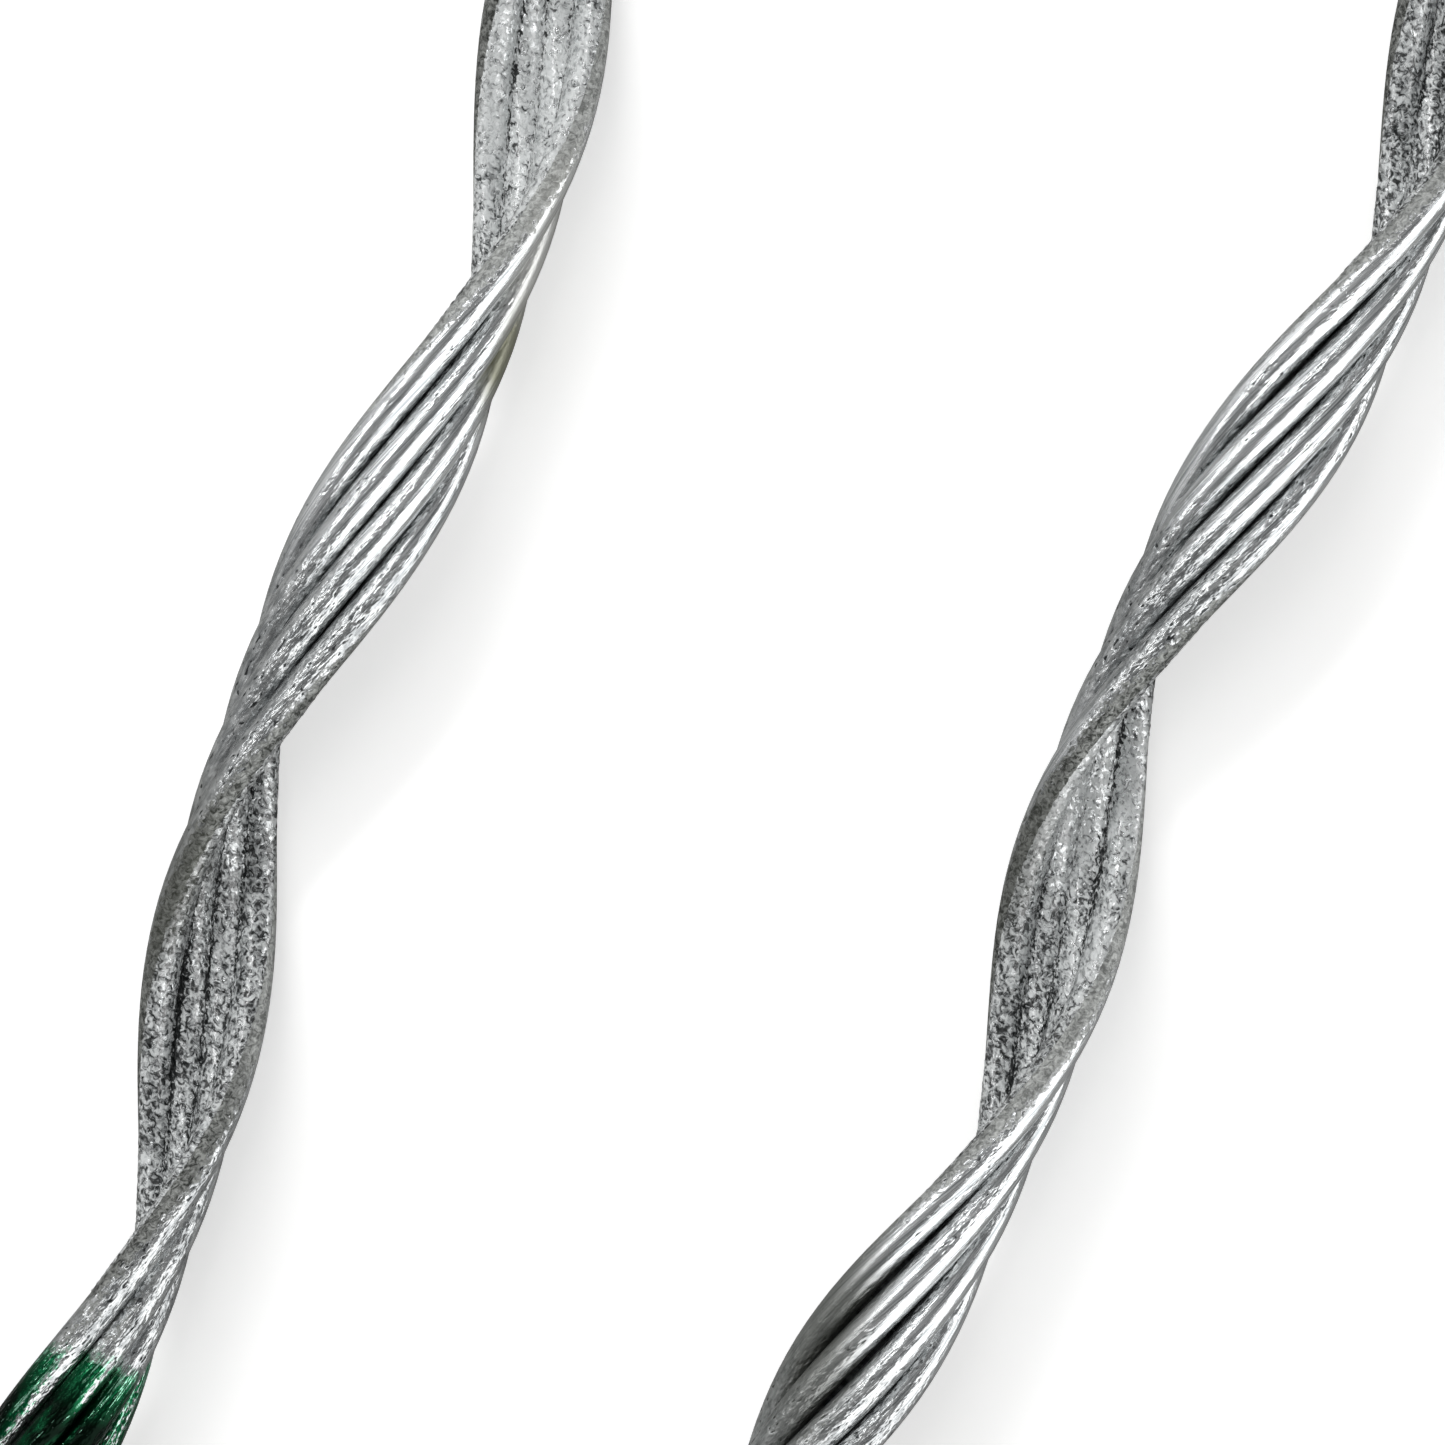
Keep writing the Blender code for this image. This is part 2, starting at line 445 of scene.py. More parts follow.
@dataclass(frozen=True)
class CrossOverMark:
    """The green paint that marks where the legs cross, on both legs."""

    near_edge: float = 160.0 * MM
    far_edge: float = 211.2 * MM
    edge_offsets: tuple[float, ...] = (0.9 * MM, -0.9 * MM, 0.3 * MM, -0.6 * MM)
    # Where a strip fades out, in half widths from its middle
    strip_fringe: float = 1.3
    strip_easing_mm: float = 4.0
    strips: tuple[RubbedStrip, ...] = (
        RubbedStrip(3, math.radians(38.0), math.radians(44.0), 80.0 * MM, 1.0),
        RubbedStrip(2, math.radians(42.0), math.radians(17.0), 9.0 * MM, 0.9),
        RubbedStrip(0, math.radians(25.0), math.radians(75.0), 80.0 * MM, 0.5),
    )

    def depth(self, bundle: Bundle, points: np.ndarray, number: int) -> np.ndarray:
        """Gives how far inside the painted band each point lies.

        Args:
            bundle: The path of the wires.
            points: Points on a wire.
            number: The wire, from 0, whose paint ends a little before or after its neighbours'.

        Returns:
            The depth in millimetres, negative outside the band.
        """
        from_tip = points[..., 1] - (bundle.place[1] - bundle.loop_radius)
        offset = self.edge_offsets[number]
        return np.minimum(from_tip - self.near_edge + offset, self.far_edge + offset - from_tip) / MM

    def rubbed(self, points: np.ndarray, centre: np.ndarray, depth: np.ndarray, number: int) -> np.ndarray:
        """Gives how close each point is to the middle of a rubbed strip.

        Args:
            points: Points on a wire, as rows x columns x 3.
            centre: The wire's centres, one for each row.
            depth: How far inside the painted band each point lies, in millimetres.
            number: The wire, from 0.

        Returns:
            A strip's amount in its middle, and 0 from a little outside its edges on.
        """
        made = np.zeros(points.shape[:2])
        for strip in self.strips:
            if strip.wire != number:
                continue
            facing = points - centre[:, None, :]
            facing = facing / np.linalg.norm(facing, axis=-1, keepdims=True)
            aim = np.array([math.sin(strip.lean), 0.0, math.cos(strip.lean)])
            off = np.arccos(np.clip(facing @ aim, -1.0, 1.0))
            near = np.clip(self.strip_fringe - off / strip.half_width, 0.0, 1.0)
            near = strip.amount * near * smooth_step((strip.reach / MM - depth) / self.strip_easing_mm)
            made = np.maximum(made, near * (points[..., 0] < 0.0))
        return made


@dataclass(frozen=True)
class Spot:
    """A stain, dull patch or painted shade on a finish, fading out from its middle. Its sizes are in metres.
    """

    middle: tuple[float, float, float]
    half_size: tuple[float, float, float]
    tint: str
    share: float
    dulled: float = 0.0


@dataclass(frozen=True)
class WireGround:
    """What the layers of the wires' finish share.

    Attributes:
        tree: The material's node tree.
        straight: The wire's straightened coordinates in millimetres.
        drawn_out: The same, at the scale of the lumps.
        mark: How far inside the painted band a point lies, and how close to a rubbed strip.
        wear_and_painted_light: Spilled grit with the painted kink shade, roughness, and the grit's painted
            sheen.
        lines: Height of the lines from the drawing die.
        lumps: Height of the lumps of zinc.
        patch_noise: The noise that the patches come from.
        rough_skin: Where the zinc is rough all over.
        patches: Where the lumps stand out.
    """

    tree: Tree
    straight: Socket
    drawn_out: Socket
    mark: bpy.types.bpy_prop_collection
    wear_and_painted_light: bpy.types.bpy_prop_collection
    lines: Socket
    lumps: Socket
    patch_noise: Socket
    rough_skin: Socket
    patches: Socket


@dataclass(frozen=True)
class GalvanisedWire:
    """Hot-dip galvanised drawn steel wire with its marking paint.

    The molten zinc is wiped off as the wire leaves the bath, which leaves a bright, slightly cool
    grey skin with a soft mirror. The skin keeps fine lines along the wire from the drawing die, which
    break the mirrored streaks up, and it turns dull and lumpy where the zinc froze unevenly.
    """

    zinc_light: str = "#EFF1F2"
    zinc_dark: str = "#9CA1A3"
    dull_light: str = "#D6D8D8"
    dull_dark: str = "#7C7F80"
    pit: str = "#3E4142"
    zinc_metal: float = 0.93
    paint_metal: float = 0.75
    # Spots on the wires: a pale dull patch, a khaki stain, and three spots of painted shade
    spots_and_painted_shade: tuple[Spot, ...] = (
        # A pale, dull patch on the left leg
        Spot((-0.0412, -0.1235, 0.009), (0.0036, 0.015, 0.008), "#D9D9D4", 0.65, 0.20),
        # Painted shade on the right leg's lower stretch
        Spot((0.0405, -0.2310, 0.012), (0.0058, 0.021, 0.009), "#71736D", 0.80, 0.22),
        # Painted shade on the left leg's left edge
        Spot((-0.0537, -0.2090, 0.010), (0.0036, 0.016, 0.009), "#4A4C42", 0.45, 0.10),
        # Painted shade on the right leg's left edge
        Spot((0.0415, -0.1700, 0.010), (0.0032, 0.015, 0.009), "#4B4D46", 0.42, 0.10),
        # A khaki stain on the left leg
        Spot((-0.0409, -0.1362, 0.010), (0.0021, 0.0085, 0.005), "#7F7F68", 0.85, 0.16),
    )
    paint: str = "#0B6B41"
    paint_dark: str = "#021209"
    paint_worn: str = "#A5E0C4"
    grain_light: str = "#ACAEAB"
    grain_dark: str = "#3F413E"
    # Painted sheen: the spilled grit on each leg's right-hand wire is drawn in these pale colours, as if it
    # mirrored the light from the right
    painted_sheen_light: str = "#D4D6D4"
    painted_sheen_dark: str = "#838583"
    # Real drawing lines are a few hundredths of a millimetre apart, and are drawn coarser to show
    line_spacing: float = 0.22
    line_stretch: float = 0.07
    lump_size: float = 0.50
    lump_stretch: float = 0.5
    patches_across: float = 0.45
    patch_length: float = 9.0
    mottle_rate: float = 0.9
    mottle_stretch: float = 0.45
    # Grit of this class has grains of about 0.3 mm, and they are drawn half as large again to show
    grain_size: float = 0.45
    rag_rate: float = 0.55
    scuff_rate: float = 1.1
    relief_height: float = 0.13 * MM

    def ground(self, tree: Tree) -> WireGround:
        """Lays out the drawing lines, the lumps of zinc and the patches where they stand out.

        Args:
            tree: The material's node tree.

        Returns:
            What the layers of the finish share.
        """
        straight, mark, wear_and_painted_light = (
            add_node(tree, Node.ATTRIBUTE, attribute_name=name).outputs["Vector"]
            for name in ("straightened", "mark", "wear_and_painted_light")
        )
        mark = add_node(tree, Node.SPLIT_VECTOR, links={0: mark}).outputs
        wear_and_painted_light = add_node(tree, Node.SPLIT_VECTOR, links={0: wear_and_painted_light}).outputs
        line_rate, lump_rate = 1.0 / self.line_spacing, 1.0 / self.lump_size
        along, drawn_out, stretched = (
            add_node(tree, Node.MAPPING, {"Scale": scale}, {"Vector": straight}).outputs[0]
            for scale in (
                (line_rate, line_rate, self.line_stretch),
                (lump_rate, lump_rate, self.lump_stretch / self.lump_size),
                (self.patches_across, self.patches_across, 1.0 / self.patch_length),
            )
        )
        lines, lumps, patch_noise = (
            add_node(
                tree,
                Node.NOISE,
                {"Scale": 1.0, "Detail": detail, "Roughness": roughness},
                {"Vector": source},
            ).outputs[0]
            for source, detail, roughness in (
                (along, 3.0, 0.6),
                (drawn_out, 1.0, 0.5),
                (stretched, 3.0, 0.65),
            )
        )
        patches = add_node(
            tree, Node.MAP_RANGE, {LOW: 0.52, HIGH: 0.66}, {0: patch_noise}, interpolation_type="SMOOTHSTEP"
        ).outputs[0]

        # The wire is rough towards the grit, and from a little before the paint on
        near_mark = add_node(tree, Node.MAP_RANGE, {LOW: -42.0, HIGH: -26.0}, {0: mark[0]}).outputs[0]
        rough = add_node(tree, Node.MATH, links={0: near_mark, 1: wear_and_painted_light[1]}, operation="MAXIMUM").outputs[0]
        patches = add_node(tree, Node.MATH, links={0: patches, 1: rough}, operation="MAXIMUM").outputs[0]
        return WireGround(
            tree, straight, drawn_out, mark, wear_and_painted_light, lines, lumps, patch_noise, rough, patches
        )

    def zinc(self, ground: WireGround) -> Socket:
        """Colours the zinc: a light skin, darker in deep lines, mottled where rough, pitted in patches.

        Args:
            ground: What the layers share.

        Returns:
            The colour.
        """
        tree = ground.tree
        shallow = add_node(tree, Node.MAP_RANGE, {LOW: 0.32, HIGH: 0.58}, {0: ground.lines}).outputs[0]
        skin = add_node(
            tree,
            Node.MIX,
            {COLOUR_A: colour(self.zinc_dark), COLOUR_B: colour(self.zinc_light)},
            {0: shallow},
            data_type="RGBA",
        ).outputs[MIXED_COLOUR]
        mottle_scale = (1.0, 1.0, self.mottle_stretch)
        stretched = add_node(tree, Node.MAPPING, {"Scale": mottle_scale}, {"Vector": ground.straight})
        mottle = add_node(
            tree,
            Node.NOISE,
            {"Scale": self.mottle_rate, "Detail": 4.0, "Roughness": 0.7},
            {"Vector": stretched.outputs[0]},
        ).outputs[0]
        dull = add_node(
            tree,
            Node.MIX,
            {COLOUR_A: colour(self.dull_dark), COLOUR_B: colour(self.dull_light)},
            {0: add_node(tree, Node.MAP_RANGE, {LOW: 0.40, HIGH: 0.62}, {0: mottle}).outputs[0]},
            data_type="RGBA",
        ).outputs[MIXED_COLOUR]
        dull_share = add_node(tree, Node.MATH, {1: 0.75}, {0: ground.rough_skin}, operation="MULTIPLY")
        skin = add_node(
            tree,
            Node.MIX,
            links={0: dull_share.outputs[0], COLOUR_A: skin, COLOUR_B: dull},
            data_type="RGBA",
        ).outputs[MIXED_COLOUR]
        low_lumps = add_node(tree, Node.MAP_RANGE, {LOW: 0.35, HIGH: 0.28}, {0: ground.lumps}).outputs[0]
        pits = add_node(tree, Node.MATH, links={0: low_lumps, 1: ground.patches}, operation="MULTIPLY")
        return add_node(
            tree,
            Node.MIX,
            {COLOUR_B: colour(self.pit)},
            {0: pits.outputs[0], COLOUR_A: skin},
            data_type="RGBA",
        ).outputs[MIXED_COLOUR]

    def spilled_grit_shade_sheen(self, ground: WireGround, under: Socket) -> tuple[Socket, Socket, Socket]:
        """Lays grit that ran over the outer side of the edge wires and thins out in flecks, and the
        painted shade at the kink, which is drawn in the same grit.

        Args:
            ground: What the layers share.
            under: The zinc's colour.

        Returns:
            The colour, how much grit and painted shade there is, and the height of its grains.
        """
        tree = ground.tree
        crumbs = add_node(
            tree,
            Node.NOISE,
            {"Scale": NOISE_GRAIN / self.grain_size, "Detail": 3.0, "Roughness": 0.65, "Distortion": 1.0},
            {"Vector": ground.straight},
        ).outputs[0]
        # The spilled grit, and the painted shade at the kink, which is drawn as grit
        gritty = ground.wear_and_painted_light[0]
        for flecks in (ground.lumps, crumbs):
            gritty = add_node(
                tree, Node.MATH, {1: 0.9}, {0: flecks, 2: gritty}, operation="MULTIPLY_ADD"
            ).outputs[0]
        spill = add_node(tree, Node.MAP_RANGE, {LOW: 1.20, HIGH: 1.36}, {0: gritty}).outputs[0]
        # Painted sheen: the grit is drawn paler on each leg's right-hand wire
        dark, light = (
            add_node(
                tree,
                Node.MIX,
                {COLOUR_A: colour(plain), COLOUR_B: colour(painted_sheen)},
                {0: ground.wear_and_painted_light[2]},
                data_type="RGBA",
            ).outputs[MIXED_COLOUR]
            for plain, painted_sheen in ((self.grain_dark, self.painted_sheen_dark), (self.grain_light, self.painted_sheen_light))
        )
        by_grain = add_node(tree, Node.MAP_RANGE, {LOW: 0.38, HIGH: 0.66}, {0: crumbs}).outputs[0]
        grains = add_node(
            tree, Node.MIX, links={0: by_grain, COLOUR_A: dark, COLOUR_B: light}, data_type="RGBA"
        ).outputs[MIXED_COLOUR]
        over = add_node(
            tree, Node.MIX, links={0: spill, COLOUR_A: under, COLOUR_B: grains}, data_type="RGBA"
        ).outputs[MIXED_COLOUR]
        return over, spill, crumbs

    def spotted_and_shaded(self, tree: Tree, under: Socket) -> tuple[Socket, Socket]:
        """Adds the stain, the dull patch and the painted shade.

        Args:
            tree: The material's node tree.
            under: The colour under the stains.

        Returns:
            The colour, and how much rougher the surface is.
        """
        place = add_node(tree, Node.COORDINATES).outputs["Object"]
        dulled = None
        # The stain, the dull patch and the painted shade, one spot after another
        for spot in self.spots_and_painted_shade:
            near = nearness(tree, place, spot.middle, spot.half_size, spot.share)
            under = add_node(
                tree, Node.MIX, {COLOUR_B: colour(spot.tint)}, {0: near, COLOUR_A: under}, data_type="RGBA"
            ).outputs[MIXED_COLOUR]
            links = {0: near} if dulled is None else {0: near, 2: dulled}
            dulled = add_node(
                tree, Node.MATH, {1: spot.dulled, 2: 0.0}, links, operation="MULTIPLY_ADD"
            ).outputs[0]
        return under, dulled

    def coat(self, ground: WireGround) -> tuple[Socket, Socket]:
        """Lays the paint's coat, ragged at its edges, scuffed, and rubbed off along the strips.

        Args:
            ground: What the layers share.

        Returns:
            How much paint there is, and the scuffs in it.
        """
        tree = ground.tree
        rag, scuffs = (
            add_node(
                tree,
                Node.NOISE,
                {"Scale": scale, "Detail": detail, "Roughness": roughness},
                {"Vector": source},
            ).outputs[0]
            for source, scale, detail, roughness in (
                (ground.straight, self.rag_rate, 5.0, 0.7),
                (ground.drawn_out, self.scuff_rate, 4.0, 0.75),
            )
        )
        edge = ground.mark[0]
        for raggedness, source in ((7.0, rag), (2.5, ground.lines)):
            edge = add_node(
                tree, Node.MATH, {1: raggedness}, {0: source, 2: edge}, operation="MULTIPLY_ADD"
            ).outputs[0]
        covered = add_node(tree, Node.MAP_RANGE, {LOW: 3.9, HIGH: 5.6}, {0: edge}).outputs[0]
        strip_edge = add_node(
            tree, Node.MATH, {1: 2.4}, {0: scuffs, 2: ground.mark[1]}, operation="MULTIPLY_ADD"
        ).outputs[0]
        unrubbed = add_node(tree, Node.MAP_RANGE, {LOW: 1.86, HIGH: 1.72}, {0: strip_edge}).outputs[0]
        unscuffed = add_node(
            tree, Node.MAP_RANGE, {LOW: 0.68, HIGH: 0.74, OUT_LOW: 1.0, OUT_HIGH: 0.4}, {0: scuffs}
        ).outputs[0]
        left = covered
        for kept in (unrubbed, unscuffed):
            left = add_node(tree, Node.MATH, links={0: left, 1: kept}, operation="MULTIPLY").outputs[0]
        return left, scuffs

    def paint_colour(self, ground: WireGround, scuffs: Socket) -> Socket:
        """Colours the paint: near black where thick, green where thin, mint where worn.

        Args:
            ground: What the layers share.
            scuffs: The scuffs in the paint.

        Returns:
            The colour.
        """
        tree = ground.tree
        thin_edge = add_node(
            tree, Node.MAP_RANGE, {LOW: 7.0, HIGH: 0.5, OUT_HIGH: 0.6}, {0: ground.mark[0]}
        ).outputs[0]
        thin_strip = add_node(
            tree, Node.MATH, {1: 1.2}, {0: ground.mark[1], 2: thin_edge}, operation="MULTIPLY_ADD"
        ).outputs[0]
        streaky = add_node(
            tree, Node.MAP_RANGE, {LOW: 0.50, HIGH: 0.74, OUT_HIGH: 0.6}, {0: ground.patch_noise}
        ).outputs[0]
        thin = add_node(tree, Node.MATH, links={0: streaky, 1: thin_strip}, operation="ADD").outputs[0]
        plain = add_node(
            tree,
            Node.MIX,
            {COLOUR_A: colour(self.paint_dark), COLOUR_B: colour(self.paint)},
            {0: thin},
            data_type="RGBA",
        ).outputs[MIXED_COLOUR]
        scuffed = add_node(
            tree, Node.MATH, {1: 0.7}, {0: scuffs, 2: ground.lines}, operation="MULTIPLY_ADD"
        ).outputs[0]
        fleck = add_node(tree, Node.MATH, {1: 0.25}, {0: thin, 2: scuffed}, operation="MULTIPLY_ADD")
        worn = add_node(tree, Node.MAP_RANGE, {LOW: 1.06, HIGH: 1.14}, {0: fleck.outputs[0]}).outputs[0]
        return add_node(
            tree, Node.MIX, {COLOUR_B: colour(self.paint_worn)}, {0: worn, COLOUR_A: plain}, data_type="RGBA"
        ).outputs[MIXED_COLOUR]

    def relief(self, ground: WireGround, spill: Socket, crumbs: Socket) -> Socket:
        """Raises lines everywhere, lumps that are taller in the patches, and the spill's grains.

        Args:
            ground: What the layers share.
            spill: How much spilled grit there is, with the painted shade at the kink.
            crumbs: The height of its grains.

        Returns:
            The normal.
        """
        tree = ground.tree
        share = add_node(tree, Node.MAP_RANGE, {OUT_LOW: 0.22, OUT_HIGH: 1.7}, {0: ground.patches}).outputs[0]
        centred = add_node(tree, Node.MATH, {1: 0.5}, {0: ground.lumps}, operation="SUBTRACT").outputs[0]
        lumps = add_node(tree, Node.MATH, links={0: centred, 1: share}, operation="MULTIPLY").outputs[0]
        zinc = add_node(tree, Node.MATH, {1: 0.22}, {0: ground.lines, 2: lumps}, operation="MULTIPLY_ADD")
        height = add_node(
            tree,
            Node.MIX,
            links={0: spill, NUMBER_A: zinc.outputs[0], NUMBER_B: crumbs},
            data_type="FLOAT",
        ).outputs[0]
        return add_node(
            tree, Node.BUMP, {"Strength": 1.0, "Distance": self.relief_height}, {"Height": height}
        ).outputs[0]

    def material(self) -> bpy.types.Material:
        """Builds the material, which reads the wire's straightened coordinates in millimetres.

        Returns:
            The material.
        """
        # Galvanised drawn wire shows as bright grey, with a soft streak of mirror along each wire
        made, tree, shader = new_material("galvanised_drawn_wire")
        ground = self.ground(tree)
        gritted_and_shaded, spill, crumbs = self.spilled_grit_shade_sheen(ground, self.zinc(ground))
        bare, dulled = self.spotted_and_shaded(tree, gritted_and_shaded)
        coat, scuffs = self.coat(ground)
        base = add_node(
            tree,
            Node.MIX,
            links={0: coat, COLOUR_A: bare, COLOUR_B: self.paint_colour(ground, scuffs)},
            data_type="RGBA",
        ).outputs[MIXED_COLOUR]

        # The wiped skin is the smoothest, the lumpy patches are duller and the grit is the dullest
        skin_values = {OUT_LOW: 0.21, OUT_HIGH: 0.26}
        skin = add_node(tree, Node.MAP_RANGE, skin_values, {0: ground.patches}).outputs[0]
        rough = add_node(tree, Node.MATH, links={0: skin, 1: dulled}, operation="ADD").outputs[0]
        for share, roughness in ((spill, 0.60), (coat, 0.20)):
            rough = add_node(
                tree, Node.MIX, {NUMBER_B: roughness}, {0: share, NUMBER_A: rough}, data_type="FLOAT"
            ).outputs[0]
        covered = add_node(tree, Node.MATH, {1: 0.8}, {0: spill, 2: coat}, operation="MULTIPLY_ADD")
        metal_values = {OUT_LOW: self.zinc_metal, OUT_HIGH: self.paint_metal}
        metal = add_node(tree, Node.MAP_RANGE, metal_values, {0: covered.outputs[0]}).outputs[0]
        gloss = add_node(tree, Node.MAP_RANGE, {OUT_LOW: 0.5, OUT_HIGH: 0.16}, {0: coat}).outputs[0]
        feed(
            tree,
            shader,
            {
                "Base Color": base,
                "Metallic": metal,
                "Roughness": rough,
                "Specular IOR Level": gloss,
                "Normal": self.relief(ground, spill, crumbs),
            },
        )
        return made


@dataclass(frozen=True)
class BondedGrit:
    """Crushed aluminium oxide grit, dusted onto wet clear adhesive.

    The crushed grains are sharp and grey, so some look dark and some flash from a flat face. The
    adhesive bridges them in smooth beads, which glint in rows along the wires. The grooves between
    the wires carry painted shade, a near black that is broken up into chains.
    """

    grain_light: str = "#DDE0E0"
    grain_mid: str = "#939697"
    grain_dark: str = "#232626"
    groove_shade: str = "#111414"
    # Grit of this class has grains of about 0.3 mm, and they are drawn nearly twice as large to show
    grain_size: float = 0.54
    grain_height: float = 0.30 * MM
    bed_rates: tuple[float, float, float] = (0.55, 0.55, 0.16)
    cloud_rate: float = 1.2
    bead_rate: float = 0.85
    bead_height: float = 0.16 * MM
    adhesive_sheen: float = 1.0
    adhesive_roughness: float = 0.09
    adhesive_index: float = 1.85
    paler_by: float = 0.9
    # Paler grit: the first patch, near the top of the left leg, is only paler; the other two, on the right
    # leg, are painted sheen, as if the adhesive mirrored the light
    pale_and_sheen_patches: tuple[tuple[tuple[float, float, float], float], ...] = (
        ((-0.0483, -0.1049, 0.009), 24.0 * MM),
        ((0.0458, -0.1579, 0.009), 17.0 * MM),
        ((0.0535, -0.1760, 0.009), 8.0 * MM),
    )
    # Painted shade: dark olive-grey spots on the left edge of each leg's grit
    shade_spots: tuple[Spot, ...] = (
        Spot((-0.0537, -0.2090, 0.010), (0.0030, 0.014, 0.009), "#4A4C42", 0.58),
        Spot((0.0415, -0.1700, 0.010), (0.0026, 0.013, 0.009), "#4B4D46", 0.48),
    )

    def grain_colour(self, tree: Tree, straight: Socket, flakes: Socket, place: Socket) -> Socket:
        """Colours the grains by their height and their bed, paler in the pale patch and the painted sheen.

        Args:
            tree: The material's node tree.
            straight: The straightened coordinates.
            flakes: The height of the grains.
            place: The object coordinates.

        Returns:
            The colour.
        """
        drawn_out = add_node(tree, Node.MAPPING, {"Scale": self.bed_rates}, {"Vector": straight}).outputs[0]
        bed = add_node(
            tree, Node.NOISE, {"Scale": 1.0, "Detail": 3.0, "Roughness": 0.6}, {"Vector": drawn_out}
        ).outputs[0]
        sharp = add_node(tree, Node.MATH, {1: 8.0, 2: -3.3}, {0: flakes}, operation="MULTIPLY_ADD").outputs[0]
        tone = add_node(tree, Node.MATH, {1: 2.0}, {0: bed, 2: sharp}, operation="MULTIPLY_ADD").outputs[0]
        # The first patch is only paler, the other two are painted sheen
        for middle, radius in self.pale_and_sheen_patches:
            away = add_node(
                tree, Node.VECTOR_MATH, {1: middle}, {0: place}, operation="DISTANCE"
            ).outputs["Value"]
            paler = add_node(
                tree,
                Node.MAP_RANGE,
                {LOW: radius, HIGH: 0.3 * radius, OUT_LOW: 0.0, OUT_HIGH: self.paler_by},
                {0: away},
                interpolation_type="SMOOTHSTEP",
            ).outputs[0]
            tone = add_node(tree, Node.MATH, links={0: tone, 1: paler}, operation="ADD").outputs[0]
        shade = add_node(tree, Node.MAP_RANGE, {LOW: 0.8, HIGH: 2.6}, {0: tone}).outputs[0]
        ramp = add_node(tree, Node.COLOUR_RAMP, links={0: shade})
        stops = ramp.color_ramp.elements
        stops[0].position, stops[0].color = 0.10, colour(self.grain_dark)
        stops[1].position, stops[1].color = 0.88, colour(self.grain_light)
        stops.new(0.38).color = colour(self.grain_mid)
        return ramp.outputs[0]

    def grooves(self, tree: Tree, cloud: Socket) -> Socket:
        """Gives where the adhesive lies dark in the grooves between the wires.

        Args:
            tree: The material's node tree.
            cloud: A coarse cloud that breaks the painted shade up into chains.

        Returns:
            How strong the painted shade is.
        """
        depth = add_node(tree, Node.ATTRIBUTE, attribute_name="groove_shade").outputs["Vector"]
        depth = add_node(tree, Node.SPLIT_VECTOR, links={0: depth}).outputs[0]
        deep = add_node(tree, Node.MATH, {1: 3.3}, {0: cloud, 2: depth}, operation="MULTIPLY_ADD").outputs[0]
        return add_node(
            tree,
            Node.MAP_RANGE,
            {LOW: 2.24, HIGH: 2.50, OUT_HIGH: 0.94},
            {0: deep},
            interpolation_type="SMOOTHSTEP",
        ).outputs[0]

    def adhesive(self, tree: Tree, straight: Socket, cloud: Socket, outside_groove_shade: Socket) -> tuple[Socket, Socket]:
        """Bridges the grains with beads of adhesive.

        Args:
            tree: The material's node tree.
            straight: The straightened coordinates.
            cloud: A coarse cloud, with more adhesive where it is high.
            outside_groove_shade: 0 in the painted shade of the grooves and 1 outside it.

        Returns:
            The coat's weight and its normal.
        """
        beads = add_node(
            tree,
            Node.NOISE,
            {"Scale": self.bead_rate, "Detail": 1.0, "Roughness": 0.5},
            {"Vector": straight},
        ).outputs[0]
        facing = add_node(tree, Node.ATTRIBUTE, attribute_name="facing").outputs["Vector"]
        beaded = add_node(
            tree,
            Node.BUMP,
            {"Strength": 1.0, "Distance": self.bead_height},
            {"Height": beads, "Normal": facing},
        ).outputs[0]
        wet_values = {LOW: 0.42, HIGH: 0.56, OUT_LOW: 0.1, OUT_HIGH: self.adhesive_sheen}
        wet = add_node(tree, Node.MAP_RANGE, wet_values, {0: cloud}).outputs[0]
        sheen = add_node(tree, Node.MATH, links={0: wet, 1: outside_groove_shade}, operation="MULTIPLY").outputs[0]
        return sheen, beaded

    def material(self) -> bpy.types.Material:
        """Builds the material, which reads the lining's straightened coordinates in millimetres.

        Returns:
            The material.
        """
        # Grit in clear adhesive shows as a broken, speckled grey with sharp glints
        made, tree, shader = new_material("bonded_oxide_grit")
        straight = add_node(tree, Node.ATTRIBUTE, attribute_name="straightened").outputs["Vector"]
        place = add_node(tree, Node.COORDINATES).outputs["Object"]
        flakes = add_node(
            tree,
            Node.NOISE,
            {"Scale": NOISE_GRAIN / self.grain_size, "Detail": 3.0, "Roughness": 0.6, "Distortion": 1.1},
            {"Vector": straight},
        ).outputs[0]
        cloud = add_node(
            tree,
            Node.NOISE,
            {"Scale": self.cloud_rate, "Detail": 3.0, "Roughness": 0.6},
            {"Vector": straight},
        ).outputs[0]
        streak = self.grooves(tree, cloud)
        base = self.grain_colour(tree, straight, flakes, place)
        # Painted shade on the left edge of each leg's grit
        for spot in self.shade_spots:
            near = nearness(tree, place, spot.middle, spot.half_size, spot.share)
            base = add_node(
                tree, Node.MIX, {COLOUR_B: colour(spot.tint)}, {0: near, COLOUR_A: base}, data_type="RGBA"
            ).outputs[MIXED_COLOUR]
        # Painted shade: the grooves between the wires are drawn near black over the grains
        base = add_node(
            tree, Node.MIX, {COLOUR_B: colour(self.groove_shade)}, {0: streak, COLOUR_A: base}, data_type="RGBA"
        ).outputs[MIXED_COLOUR]

